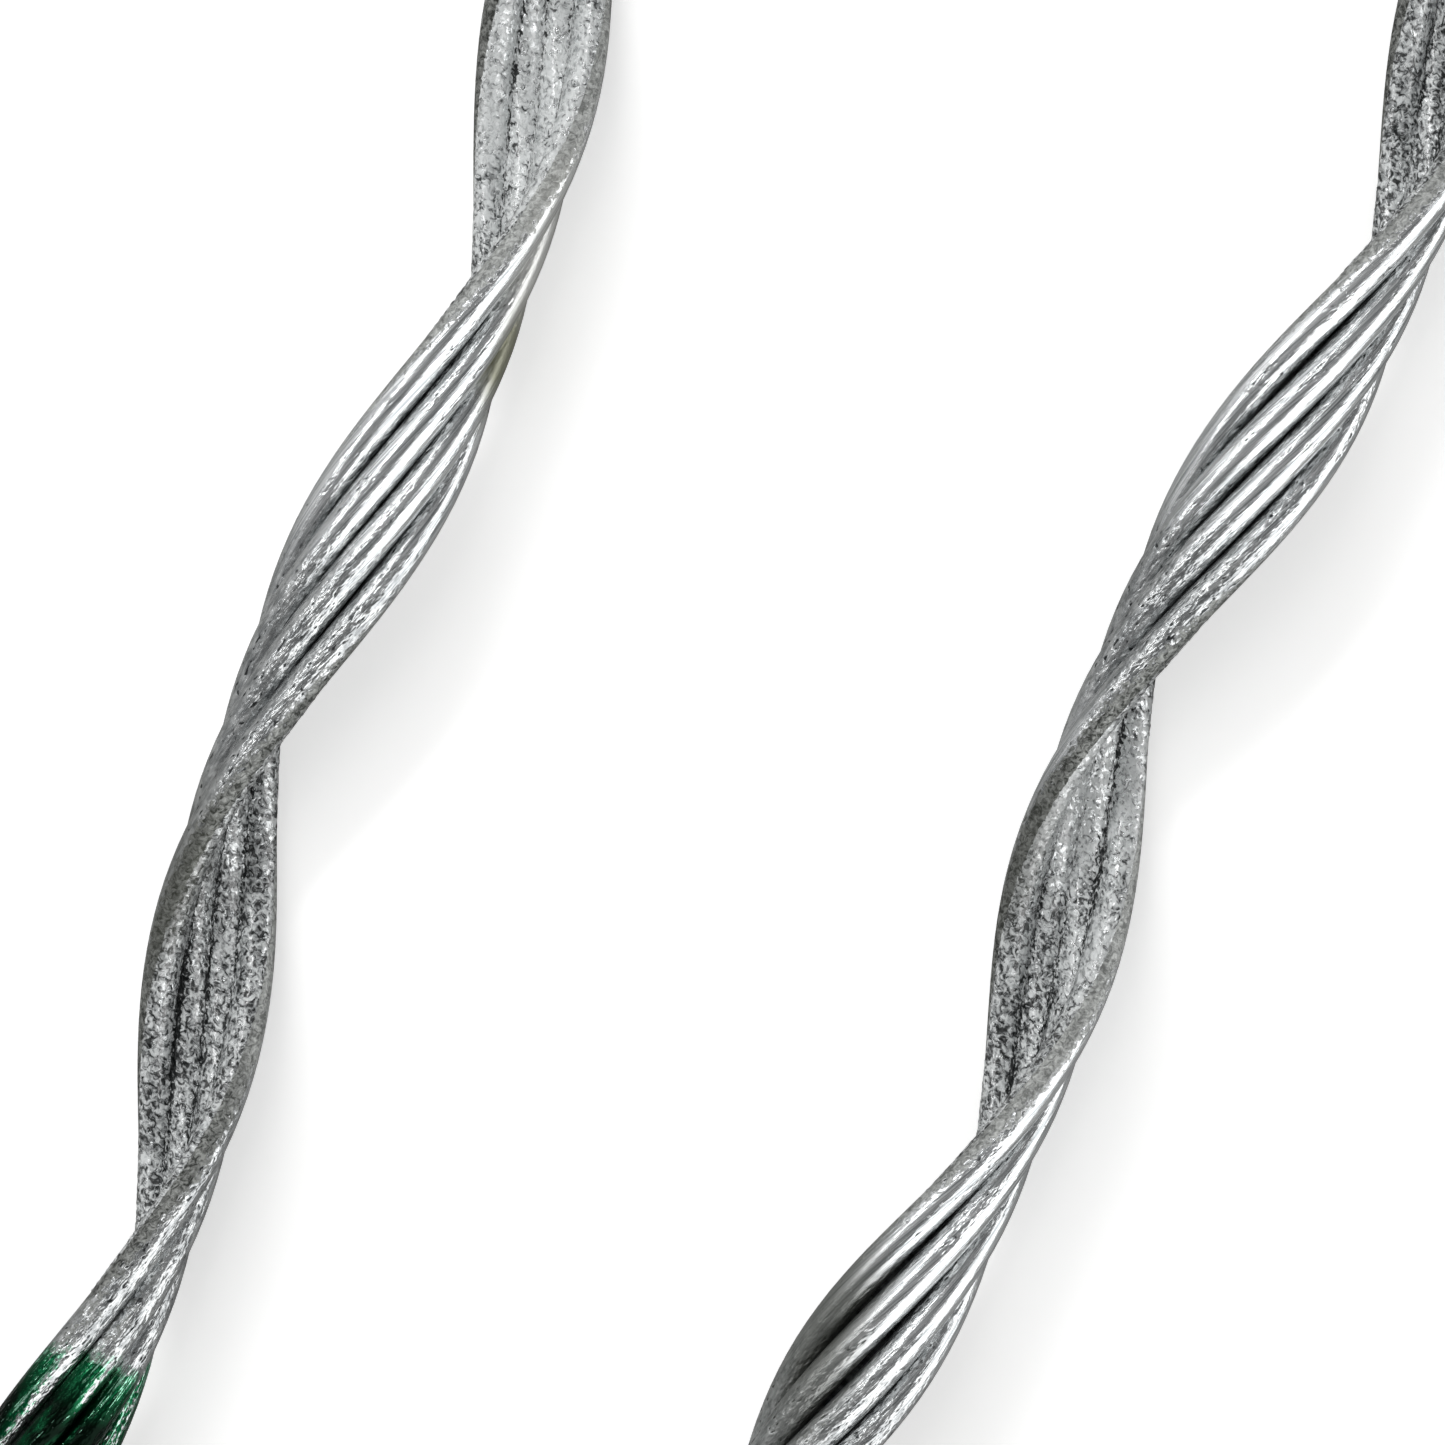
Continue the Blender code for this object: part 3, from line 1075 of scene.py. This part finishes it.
        # Each grain has its own roughness, and some mirror like a flat crystal face
        grains = add_node(tree, Node.CELLS, {"Scale": 1.0 / self.grain_size}, {"Vector": straight})
        pick = add_node(tree, Node.SPLIT_COLOUR, links={0: grains.outputs["Color"]}).outputs
        rough_values = {LOW: 0.0, HIGH: 1.0, OUT_LOW: 0.55, OUT_HIGH: 0.16}
        rough = add_node(tree, Node.MAP_RANGE, rough_values, {0: pick[1]}).outputs[0]
        flat_values = {LOW: 0.50, HIGH: 0.70, OUT_LOW: 0.0, OUT_HIGH: 0.9}
        flat = add_node(tree, Node.MAP_RANGE, flat_values, {0: pick[2]}).outputs[0]
        outside_groove_shade, gloss = (
            add_node(tree, Node.MAP_RANGE, {OUT_LOW: outside, OUT_HIGH: 0.0}, {0: streak}).outputs[0]
            for outside in (1.0, 0.5)
        )
        metal = add_node(tree, Node.MATH, links={0: flat, 1: outside_groove_shade}, operation="MULTIPLY").outputs[0]
        bump = add_node(
            tree, Node.BUMP, {"Strength": 1.0, "Distance": self.grain_height}, {"Height": flakes}
        ).outputs[0]
        sheen, beaded = self.adhesive(tree, straight, cloud, outside_groove_shade)
        shader.inputs["Coat Roughness"].default_value = self.adhesive_roughness
        shader.inputs["Coat IOR"].default_value = self.adhesive_index
        feed(
            tree,
            shader,
            {
                "Base Color": base,
                "Roughness": rough,
                "Metallic": metal,
                "Specular IOR Level": gloss,
                "Normal": bump,
                "Coat Weight": sheen,
                "Coat Normal": beaded,
            },
        )
        return made


@dataclass(frozen=True)
class WhitePaper:
    """Matt white paper.

    Paper scatters light evenly and has no mirror of its own. The camera sees it lifted to white,
    and the wires mirror it as a light grey, as they mirror a real table's paper in its shade.
    """

    seen: str = "#F3F3F2"
    mirrored: str = "#B9B9B8"
    lift: float = 0.46
    roughness: float = 0.95

    def material(self) -> bpy.types.Material:
        """Builds the material.

        Returns:
            The material.
        """
        # Matt paper shows as an even white with a soft shadow and no gloss
        made, tree, shader = new_material("white_paper")
        shader.inputs["Roughness"].default_value = self.roughness
        shader.inputs["Specular IOR Level"].default_value = 0.0
        shader.inputs["Emission Color"].default_value = (1.0, 1.0, 1.0, 1.0)
        path = add_node(tree, Node.LIGHT_PATH).outputs
        lifted = add_node(
            tree, Node.MATH, {1: self.lift}, {0: path["Is Camera Ray"]}, operation="MULTIPLY"
        ).outputs[0]
        white = add_node(
            tree,
            Node.MIX,
            {COLOUR_A: colour(self.seen), COLOUR_B: colour(self.mirrored)},
            {0: path["Is Glossy Ray"]},
            data_type="RGBA",
        ).outputs[MIXED_COLOUR]
        feed(tree, shader, {"Emission Strength": lifted, "Base Color": white})
        return made


@dataclass
class WireSet:
    """The four round wires, each from the end of one leg round the loop to the end of the other."""

    bundle: Bundle
    mark: CrossOverMark
    sides: int = 32
    step: float = 2.2 * MM
    chamfer: float = 0.35 * MM
    sharp_angle: float = math.radians(40.0)
    patterns_apart_mm: float = 20.0
    # Grit that ran over the outer side of the edge wires, and where painted sheen makes it pale
    spill_angle: float = math.radians(78.0)
    spill_core: float = math.radians(8.0)
    spill_fade: float = math.radians(84.0)
    spill_start: float = 232.0 * MM
    spill_easing: float = 12.0 * MM
    painted_sheen_start: float = 262.0 * MM
    painted_sheen_easing: float = 20.0 * MM
    # Painted shade, drawn as grit, on the side of two wires that faces up and to the left just before the
    # paint
    kink_shade_amount: float = 0.30
    kink_shade_aim: tuple[float, float, float] = (-0.46, -0.19, 0.87)
    kink_shade_sharpness: float = 1.5
    kink_shade_threshold: float = 0.4
    kink_shade_start_mm: float = -30.0
    kink_shade_easing_mm: float = 10.0
    kink_shade_end_mm: float = 4.0
    # Rough zinc on the side of the grit, and over two ragged stretches
    rough_half_angle: float = math.radians(128.0)
    rough_fade: float = math.radians(30.0)
    rough_start: float = 205.0 * MM
    rough_easing: float = 20.0 * MM
    ragged_stretches: tuple[tuple[float, float], ...] = ((-312.0 * MM, 30.0 * MM), (362.0 * MM, 18.0 * MM))
    ragged_hold: float = 1.8

    def stations(self) -> np.ndarray:
        """Gives places along the centreline, with one more near each cut end for its chamfer.

        Returns:
            The values of u, from the left leg's end to the right leg's.
        """
        end = self.bundle.leg_end
        count = round(2.0 * end / self.step)
        inner = np.linspace(-end + self.chamfer, end - self.chamfer, count)
        return np.concatenate([[-end], inner, [end]])

    def build(self, number: int) -> bpy.types.Object:
        """Builds one wire.

        Args:
            number: The wire, from 0.

        Returns:
            The wire, with its straightened coordinates in millimetres, its paint, its wear, and the
            painted shade and sheen on its grit.
        """
        u = self.stations()
        centre, outward, across = self.bundle.wire_axes(number, u)
        angle = np.linspace(0.0, FULL_TURN, self.sides + 1)
        radius = np.full(len(u), self.bundle.wire_diameter / 2.0 / math.cos(math.pi / self.sides))
        radius[[0, -1]] -= self.chamfer
        facing = np.cos(angle)[None, :, None] * -outward[:, None, :]
        facing = facing + np.sin(angle)[None, :, None] * across[:, None, :]
        points = centre[:, None, :] + radius[:, None, None] * facing
        points[:, -1] = points[:, 0]
        straight = np.empty_like(points)
        straight[..., 0] = np.cos(angle) * self.bundle.wire_diameter / 2.0 / MM
        straight[..., 0] += self.patterns_apart_mm * number
        straight[..., 1] = np.sin(angle) * self.bundle.wire_diameter / 2.0 / MM
        straight[..., 2] = self.bundle.wire_length(number, u)[:, None] / MM
        mark = np.zeros_like(points)
        mark[..., 0] = self.mark.depth(self.bundle, points, number)
        mark[..., 1] = self.mark.rubbed(points, centre, mark[..., 0], number)
        wear_and_painted_light = np.zeros_like(points)
        # The spilled grit with the painted shade at the kink drawn as grit, how rough the zinc is, and the
        # painted sheen on the right-hand wires' grit
        wear_and_painted_light[..., 0] = np.maximum(self.spill(number, angle, u), self.painted_kink_shade(number, facing, mark[..., 0]))
        wear_and_painted_light[..., 1] = self.hammered(angle, u)
        wear_and_painted_light[..., 2] = self.painted_sheen(number, u)[:, None]
        values = {"straightened": straight, "mark": mark, "wear_and_painted_light": wear_and_painted_light}
        wire = wrapped_sheet(f"round_wire_{number + 1}", points, values)
        wire.data.shade_smooth()
        wire.data.set_sharp_from_angle(angle=self.sharp_angle)
        return wire

    def spill(self, number: int, angle: np.ndarray, u: np.ndarray) -> np.ndarray:
        """Gives how close an edge wire's points are to the grit that ran over its outer side.

        Args:
            number: The wire, from 0.
            angle: Angles round the wire, from its inward side.
            u: Places along the centreline.

        Returns:
            1 in the middle of the spill and 0 outside it, as places x angles.
        """
        side = {0: -1.0, self.bundle.wire_count - 1: 1.0}.get(number, 0.0)
        from_edge = np.abs((angle - side * self.spill_angle + math.pi) % FULL_TURN - math.pi)
        near = np.clip(1.0 - (from_edge - self.spill_core) / self.spill_fade, 0.0, 1.0)
        in_leg = smooth_step((np.abs(u) - self.spill_start) / self.spill_easing)
        return abs(side) * near[None, :] * in_leg[:, None]

    def painted_sheen(self, number: int, u: np.ndarray) -> np.ndarray:
        """How much painted sheen pales the spilled grit at u: 1 on each leg's right-hand wire, away from the
        paint.
        """
        right_hand = np.where(u < 0.0, float(number == self.bundle.wire_count - 1), float(number == 0))
        return right_hand * smooth_step((np.abs(u) - self.painted_sheen_start) / self.painted_sheen_easing)

    def painted_kink_shade(self, number: int, facing: np.ndarray, depth: np.ndarray) -> np.ndarray:
        """Gives the painted shade, drawn as grit, on the side of two wires that faces up and to the left
        just before the paint.

        Args:
            number: The wire, from 0.
            facing: The surface's directions, as places x angles x 3.
            depth: How far inside the painted band each point lies, in millimetres.

        Returns:
            The amount of painted shade.
        """
        if number < self.bundle.wire_count - 2:
            return np.zeros(depth.shape)
        begun = smooth_step((depth - self.kink_shade_start_mm) / self.kink_shade_easing_mm)
        before_paint = begun * smooth_step((self.kink_shade_end_mm - depth) / self.kink_shade_end_mm)
        aimed = self.kink_shade_sharpness * (facing @ np.array(self.kink_shade_aim))
        turned_up = np.clip(aimed - self.kink_shade_threshold, 0.0, 1.0)
        return self.kink_shade_amount * before_paint * turned_up

    def hammered(self, angle: np.ndarray, u: np.ndarray) -> np.ndarray:
        """Gives how rough the zinc is.

        Args:
            angle: Angles round the wire, from its inward side.
            u: Places along the centreline.

        Returns:
            1 towards the grit, and 0 on the outer side but for the ragged stretches.
        """
        from_inside = np.minimum(angle, FULL_TURN - angle)
        near = smooth_step((self.rough_half_angle - from_inside) / self.rough_fade)
        in_leg = smooth_step((np.abs(u) - self.rough_start) / self.rough_easing)
        made = near[None, :] * in_leg[:, None]
        for middle, reach in self.ragged_stretches:
            ragged = smooth_step(self.ragged_hold * (1.0 - np.abs(u - middle) / reach))
            made = np.maximum(made, ragged[:, None])
        return made


@dataclass
class GritLining:
    """The grit bonded to the inside of one leg's ribbon, round the wires and into their grooves."""

    bundle: Bundle
    side: Side
    start: float = 240.0 * MM
    end_margin: float = 5.0 * MM
    thickness: float = 0.26 * MM
    edge_tuck: float = 0.03 * MM
    grain_height: float = 0.12 * MM
    grain_skew: float = 1.4
    grain_sink: float = 0.25
    edge_grain_loss: float = 0.55
    row_scatter: float = 0.06 * MM
    # The adhesive's level in the grooves, as a distance from the leg's centreline
    fill_radius: float = 5.30 * MM
    fill_change: float = 0.22 * MM
    fill_softness: float = 0.25 * MM
    fill_wave: float = 3.0 * MM
    fill_depth: float = 0.45 * MM
    chain_wave: float = 11.0 * MM
    # Painted shade: how far from the leg's centreline it starts between the wires, and how far it takes to
    # reach full strength
    groove_shade_start: float = 4.72 * MM
    groove_shade_run: float = 0.8 * MM
    # The painted shade in the grooves is scaled by the fill and by the chains: a base, and what each adds to
    # it
    fill_shade_tones: tuple[float, float] = (0.65, 0.45)
    chain_shade_tones: tuple[float, float] = (0.72, 0.42)
    # Painted shade on the lining's back, which shows only through the gaps between the wires
    back_shade: float = 2.2
    # How far the skin reaches round the outer side of the edge wires, and where it thins
    edge_reach: float = math.radians(80.0)
    thin_start: float = math.radians(54.0)
    thin_run: float = math.radians(26.0)
    column_step: float = 0.38 * MM
    fine_step: float = 0.38 * MM
    coarse_step: float = 0.95 * MM
    fine_reach: float = 190.0 * MM
    patterns_apart_mm: float = 40.0
    seed: int = 7

    def stations(self) -> np.ndarray:
        """Gives places along the leg, closer together over the stretch that is looked at from near.

        Returns:
            The values of u, from the cross-over mark to near the wire ends.
        """
        far = self.bundle.leg_end - self.end_margin
        fine = np.arange(self.start, self.start + self.fine_reach, self.fine_step)
        coarse = np.arange(self.start + self.fine_reach, far, self.coarse_step)
        return self.side.value * np.concatenate([fine, coarse])

    def columns(self) -> list[tuple[int, float]]:
        """Lays out the section's bare side.

        Returns:
            A wire and an angle round it from its inward side, for each column.
        """
        ring = self.bundle.wire_diameter / 2.0 + self.thickness
        left = self.side is Side.LEFT
        spacing = self.bundle.wire_diameter + (self.bundle.left_leg_gap if left else self.bundle.leg_gap)
        meet = math.asin(min(1.0, spacing / 2.0 / ring))
        last = self.bundle.wire_count - 1
        made = []
        for number in range(self.bundle.wire_count):
            low = -self.edge_reach if number == 0 else -meet
            high = self.edge_reach if number == last else meet
            count = max(2, round((high - low) * ring / self.column_step))
            made.extend((number, low + (high - low) * index / count) for index in range(count))
        made.append((last, self.edge_reach))
        return made

    @staticmethod
    def waves(rng: np.random.Generator, u: np.ndarray, rows: int, length: float) -> np.ndarray:
        """Makes smooth random rows, one for each gap between the wires and each edge.

        Args:
            rng: The source of random numbers.
            u: Places along the centreline.
            rows: The number of wires.
            length: The length over which a row changes.

        Returns:
            Values between -1 and 1, as one more row than wires x places.
        """
        knots = np.arange(u.min(), u.max() + length, length)
        order = np.argsort(u)
        made = np.empty((rows + 1, len(u)))
        for row in range(rows + 1):
            made[row, order] = np.interp(u[order], knots, rng.uniform(-1.0, 1.0, len(knots)))
        return made

    def bare_side(self, u: np.ndarray) -> tuple[np.ndarray, np.ndarray, np.ndarray]:
        """Lays the grains over each wire, and fills the grooves between them.

        Args:
            u: Places along the leg.

        Returns:
            The points, how much painted shade each gets from how deep it lies between the wires, and the
            directions that the wires face.
        """
        columns = self.columns()
        last = self.bundle.wire_count - 1
        rng = np.random.default_rng(self.seed + int(self.side.value))
        wire_radius = self.bundle.wire_diameter / 2.0
        fill_waves = self.waves(rng, u, self.bundle.wire_count, self.fill_wave)
        fill = self.fill_radius + self.fill_change * fill_waves
        chain = self.waves(rng, u, self.bundle.wire_count, self.chain_wave)
        lay = math.atan(FULL_TURN * self.bundle.leg_radius / float(self.bundle.leg_pitch(u[:1])[0]))
        fill_base, fill_more = self.fill_shade_tones
        chain_base, chain_more = self.chain_shade_tones
        points = np.empty((len(u), len(columns), 3))
        groove_shade = np.zeros((len(u), len(columns)))
        faced = np.empty_like(points)
        for column, (number, angle) in enumerate(columns):
            outer_edge = (number == 0 and angle < 0.0) or (number == last and angle > 0.0)
            thin = smooth_step(np.array((abs(angle) - self.thin_start) / self.thin_run))
            thick = self.thickness * (1.0 - thin) - self.edge_tuck * thin if outer_edge else self.thickness
            grain = self.grain_height * (rng.random(len(u)) ** self.grain_skew - self.grain_sink)
            grain *= 1.0 - self.edge_grain_loss * float(thin) if outer_edge else 1.0
            ring = wire_radius + thick
            level = u + ring * math.sin(angle) * math.sin(lay) + rng.normal(0.0, self.row_scatter, len(u))
            centre, outward, across = self.bundle.wire_axes(number, level)
            facing = -math.cos(angle) * outward + math.sin(angle) * across
            point = centre + (ring + grain)[:, None] * facing
            if not outer_edge:
                row = number + int(angle > 0.0)
                axis = self.bundle.centreline(level)[0]
                spoke = point - axis
                reach = np.linalg.norm(spoke, axis=-1)
                limit = fill[row] - grain
                over = np.clip((limit - reach) / self.fill_softness, -40.0, 40.0)
                eased = limit - self.fill_softness * np.log1p(np.exp(over))
                point = axis + spoke * (eased / reach)[:, None]
                # Painted shade: the deeper a point lies between the wires, the darker it is drawn
                low = fill[row] - self.fill_radius + self.fill_change
                groove_shade[:, column] = np.clip((reach - self.groove_shade_start) / self.groove_shade_run, 0.0, 1.0)
                groove_shade[:, column] *= fill_base + fill_more * low / (2.0 * self.fill_change)
                groove_shade[:, column] *= chain_base + chain_more * chain[row]
            points[:, column] = point
            faced[:, column] = facing
        return points, groove_shade, faced

    def back(self, u: np.ndarray) -> np.ndarray:
        """Runs the lining's back through the wires and behind the grooves, out of sight.

        Args:
            u: Places along the leg.

        Returns:
            The points, as places x columns x 3, from the last wire to the first.
        """
        made = []
        for step in range(2 * self.bundle.wire_count - 1):
            share = (self.bundle.wire_count - 1) - step / 2.0
            low = self.bundle.wire_centre(math.floor(share), u)
            high = self.bundle.wire_centre(math.ceil(share), u)
            middle = (low + high) / 2.0
            if step % 2:
                axis = self.bundle.centreline(u)[0]
                spoke = middle - axis
                reach = np.linalg.norm(spoke, axis=-1, keepdims=True)
                middle = axis + spoke * (self.fill_radius + self.fill_depth) / reach
            made.append(middle)
        return np.stack(made, axis=1)

    def build(self) -> bpy.types.Object:
        """Builds the lining as one closed skin whose bare side is broken up into grains.

        Returns:
            The lining, with its straightened coordinates in millimetres and the painted shade of its grooves.
        """
        u = self.stations()
        bare, groove_shade, faced = self.bare_side(u)
        count = bare.shape[1]
        points = np.concatenate([bare, self.back(u), bare[:, :1]], axis=1)
        straight = np.zeros_like(points)
        straight[..., 0] = np.arange(points.shape[1]) * self.column_step / MM
        straight[:, -1, 0] = straight[:, 0, 0]
        straight[..., 1] = self.patterns_apart_mm * self.side.value
        straight[..., 2] = self.bundle.wire_length(0, u)[:, None] / MM
        depth = np.zeros_like(points)
        depth[:, :count, 0] = groove_shade
        # Painted shade on the back, which is seen only through the gaps between the wires
        depth[:, count:-1, 0] = self.back_shade
        turned_out = np.zeros_like(points)
        turned_out[:, :count] = faced
        turned_out[:, count:] = -faced[:, :1]
        turned_out[:, -1] = faced[:, 0]
        name = f"grit_skin_{self.side.name.lower()}_leg"
        values = {"straightened": straight, "groove_shade": depth, "facing": turned_out}
        skin = wrapped_sheet(name, points, values)
        skin.data.shade_smooth()
        return skin


@dataclass(frozen=True)
class Lamp:
    """A rectangular lamp.

    Attributes:
        name: The lamp's name.
        place: Where it stands, to the picture's right, to its top and above the floor.
        aim: What it faces, in the same way.
        size: Its width and height.
        power: Its power in watts.
        mirrored: Whether the wires mirror it.
        lights_matt: Whether it lights what is matt.
    """

    name: str
    place: tuple[float, float, float]
    aim: tuple[float, float, float]
    size: tuple[float, float]
    power: float
    mirrored: bool = True
    lights_matt: bool = True


@dataclass
class Studio:
    """Pale floor, soft light and the camera, which looks straight down past the cross-over mark."""

    target: tuple[float, float] = (0.00058, -0.16708)
    frame_width: float = 176.2 * MM
    turn: float = math.radians(21.77)
    lens: float = 150.0
    axis_height: float = 9.24 * MM
    floor_half: float = 12.0
    even_light: float = 0.42
    # The way to the picture's lower right, along which the walls' light changes
    wall_side: tuple[float, float] = (0.76, -0.65)
    # Where each mirrored wall's light starts and stops changing, and its strength at both places
    left_wall: tuple[float, float, float, float] = (-0.95, 0.15, 0.56, 0.20)
    right_wall: tuple[float, float, float, float] = (0.46, 0.55, 0.0, 1.9)
    lamps: tuple[Lamp, ...] = (
        Lamp("broad_soft_box", (-0.66, 0.26, 0.90), (0.0, 0.0, 0.0), (1.7, 1.2), 6.0, mirrored=False),
        Lamp("strip_lamp", (-0.60, 0.51, 0.85), (0.0, 0.0, 0.0), (1.3, 0.11), 2.7),
        Lamp("white_card", (-0.28, 0.62, 0.30), (0.0, 0.62, 0.30), (0.84, 0.60), 0.85, lights_matt=False),
    )

    def image_point(self, right: float, up: float, height: float) -> Vector:
        """Gives a place from the camera's target along the picture's own right and up.

        Args:
            right: Distance to the picture's right.
            up: Distance to the picture's top.
            height: Height above the floor.

        Returns:
            The place.
        """
        x = self.target[0] + right * math.cos(self.turn) - up * math.sin(self.turn)
        y = self.target[1] + right * math.sin(self.turn) + up * math.cos(self.turn)
        return Vector((x, y, height))

    def floor(self) -> None:
        """Lays a wide white paper floor that keeps the grip's soft shadow."""
        work = bmesh.new()
        bmesh.ops.create_grid(work, x_segments=1, y_segments=1, size=self.floor_half)
        mesh = bpy.data.meshes.new("paper_floor")
        work.to_mesh(mesh)
        work.free()
        floor = bpy.data.objects.new("paper_floor", mesh)
        bpy.context.scene.collection.objects.link(floor)
        mesh.materials.append(WhitePaper().material())

    def light(self, lamp: Lamp) -> None:
        """Adds one lamp.

        Args:
            lamp: What the lamp is like and where it stands.
        """
        place = self.image_point(*lamp.place)
        data = bpy.data.lights.new(lamp.name, "AREA")
        data.shape = "RECTANGLE"
        data.size, data.size_y = lamp.size
        data.energy = lamp.power
        made = bpy.data.objects.new(lamp.name, data)
        made.location = place
        made.rotation_euler = (self.image_point(*lamp.aim) - place).to_track_quat("-Z", "Y").to_euler()
        made.visible_camera = False
        made.visible_glossy = lamp.mirrored
        made.visible_diffuse = lamp.lights_matt
        bpy.context.scene.collection.objects.link(made)

    def room(self) -> None:
        """Makes the room round the floor: even for diffuse light, with pale walls to mirror."""
        world = bpy.data.worlds.new("pale_room")
        bpy.context.scene.world = world
        world.use_nodes = True
        tree = world.node_tree
        background = tree.nodes["Background"]
        direction = add_node(tree, Node.COORDINATES).outputs["Generated"]
        lower_right = self.image_point(*self.wall_side, 0.0) - self.image_point(0.0, 0.0, 0.0)
        towards = add_node(
            tree, Node.VECTOR_MATH, {1: tuple(lower_right)}, {0: direction}, operation="DOT_PRODUCT"
        ).outputs["Value"]
        left, right = (
            add_node(
                tree,
                Node.MAP_RANGE,
                dict(zip((LOW, HIGH, OUT_LOW, OUT_HIGH), wall)),
                {0: towards},
                interpolation_type="SMOOTHSTEP",
            ).outputs[0]
            for wall in (self.left_wall, self.right_wall)
        )
        walls = add_node(tree, Node.MATH, links={0: left, 1: right}, operation="ADD").outputs[0]
        mirrored = add_node(tree, Node.LIGHT_PATH).outputs["Is Glossy Ray"]
        level = add_node(
            tree,
            Node.MIX,
            {NUMBER_A: self.even_light},
            {0: mirrored, NUMBER_B: walls},
            data_type="FLOAT",
        ).outputs[0]
        feed(tree, background, {"Strength": level})
        background.inputs["Color"].default_value = (1.0, 1.0, 1.0, 1.0)

    def camera(self) -> None:
        """Sets the camera over the legs, turned so that they lean to the right as they go up."""
        data = bpy.data.cameras.new("camera")
        data.lens = self.lens
        camera = bpy.data.objects.new("camera", data)
        distance = self.frame_width * data.lens / data.sensor_width
        camera.location = (*self.target, self.axis_height + distance)
        camera.rotation_euler = (0.0, 0.0, self.turn)
        bpy.context.scene.collection.objects.link(camera)
        bpy.context.scene.camera = camera

    def build(self) -> None:
        """Sets up the floor, the lamps, the room and the camera."""
        self.floor()
        for lamp in self.lamps:
            self.light(lamp)
        self.room()
        self.camera()


@dataclass
class Grip:
    """The whole dead end grip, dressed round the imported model."""

    frame: dict
    bundle: Bundle = field(default_factory=Bundle)

    def __post_init__(self) -> None:
        """Places the bundle by the record's mount on the right leg's end of wire 2."""
        mounts = {mount["name"]: mount for mount in self.frame["record"]["mounts"]}
        wanted = np.array(mounts["right_leg_wire_end"]["pos_m"])
        found = self.bundle.wire_centre(1, np.array([self.bundle.leg_end]))[0]
        self.bundle = replace(self.bundle, place=tuple(float(part) for part in wanted - found))

    def wires(self) -> list[bpy.types.Object]:
        """Makes the wires, gives each its finish and body, and hides the CAD node that it stands in for.

        Returns:
            The four wires.
        """
        finish = GalvanisedWire().material()
        wires = WireSet(self.bundle, CrossOverMark())
        made = []
        for number in range(self.bundle.wire_count):
            wire = wires.build(number)
            wire.data.materials.append(finish)
            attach(wire, "root")
            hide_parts(f"wire_{number + 1}")
            made.append(wire)
        return made

    def linings(self) -> list[bpy.types.Object]:
        """Makes the grit of both legs, gives each its finish and body, and hides the CAD node that it stands
        in for.

        Returns:
            The two linings.
        """
        finish = BondedGrit().material()
        made = []
        for side in Side:
            lining = GritLining(self.bundle, side).build()
            lining.data.materials.append(finish)
            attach(lining, "root")
            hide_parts(f"grit_lining_{side.name.lower()}_leg")
            made.append(lining)
        return made


def main() -> None:
    """Loads the frame, dresses the grip and sets up the studio."""
    logging.basicConfig(level=logging.INFO, format="%(name)s: %(message)s")
    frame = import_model()
    grip = Grip(frame)
    for piece in grip.wires() + grip.linings():
        LOG.info("%s has %d faces", piece.name, len(piece.data.polygons))
    Studio().build()
    bpy.context.scene.view_settings.view_transform = "Standard"


if __name__ == "__main__":
    main()
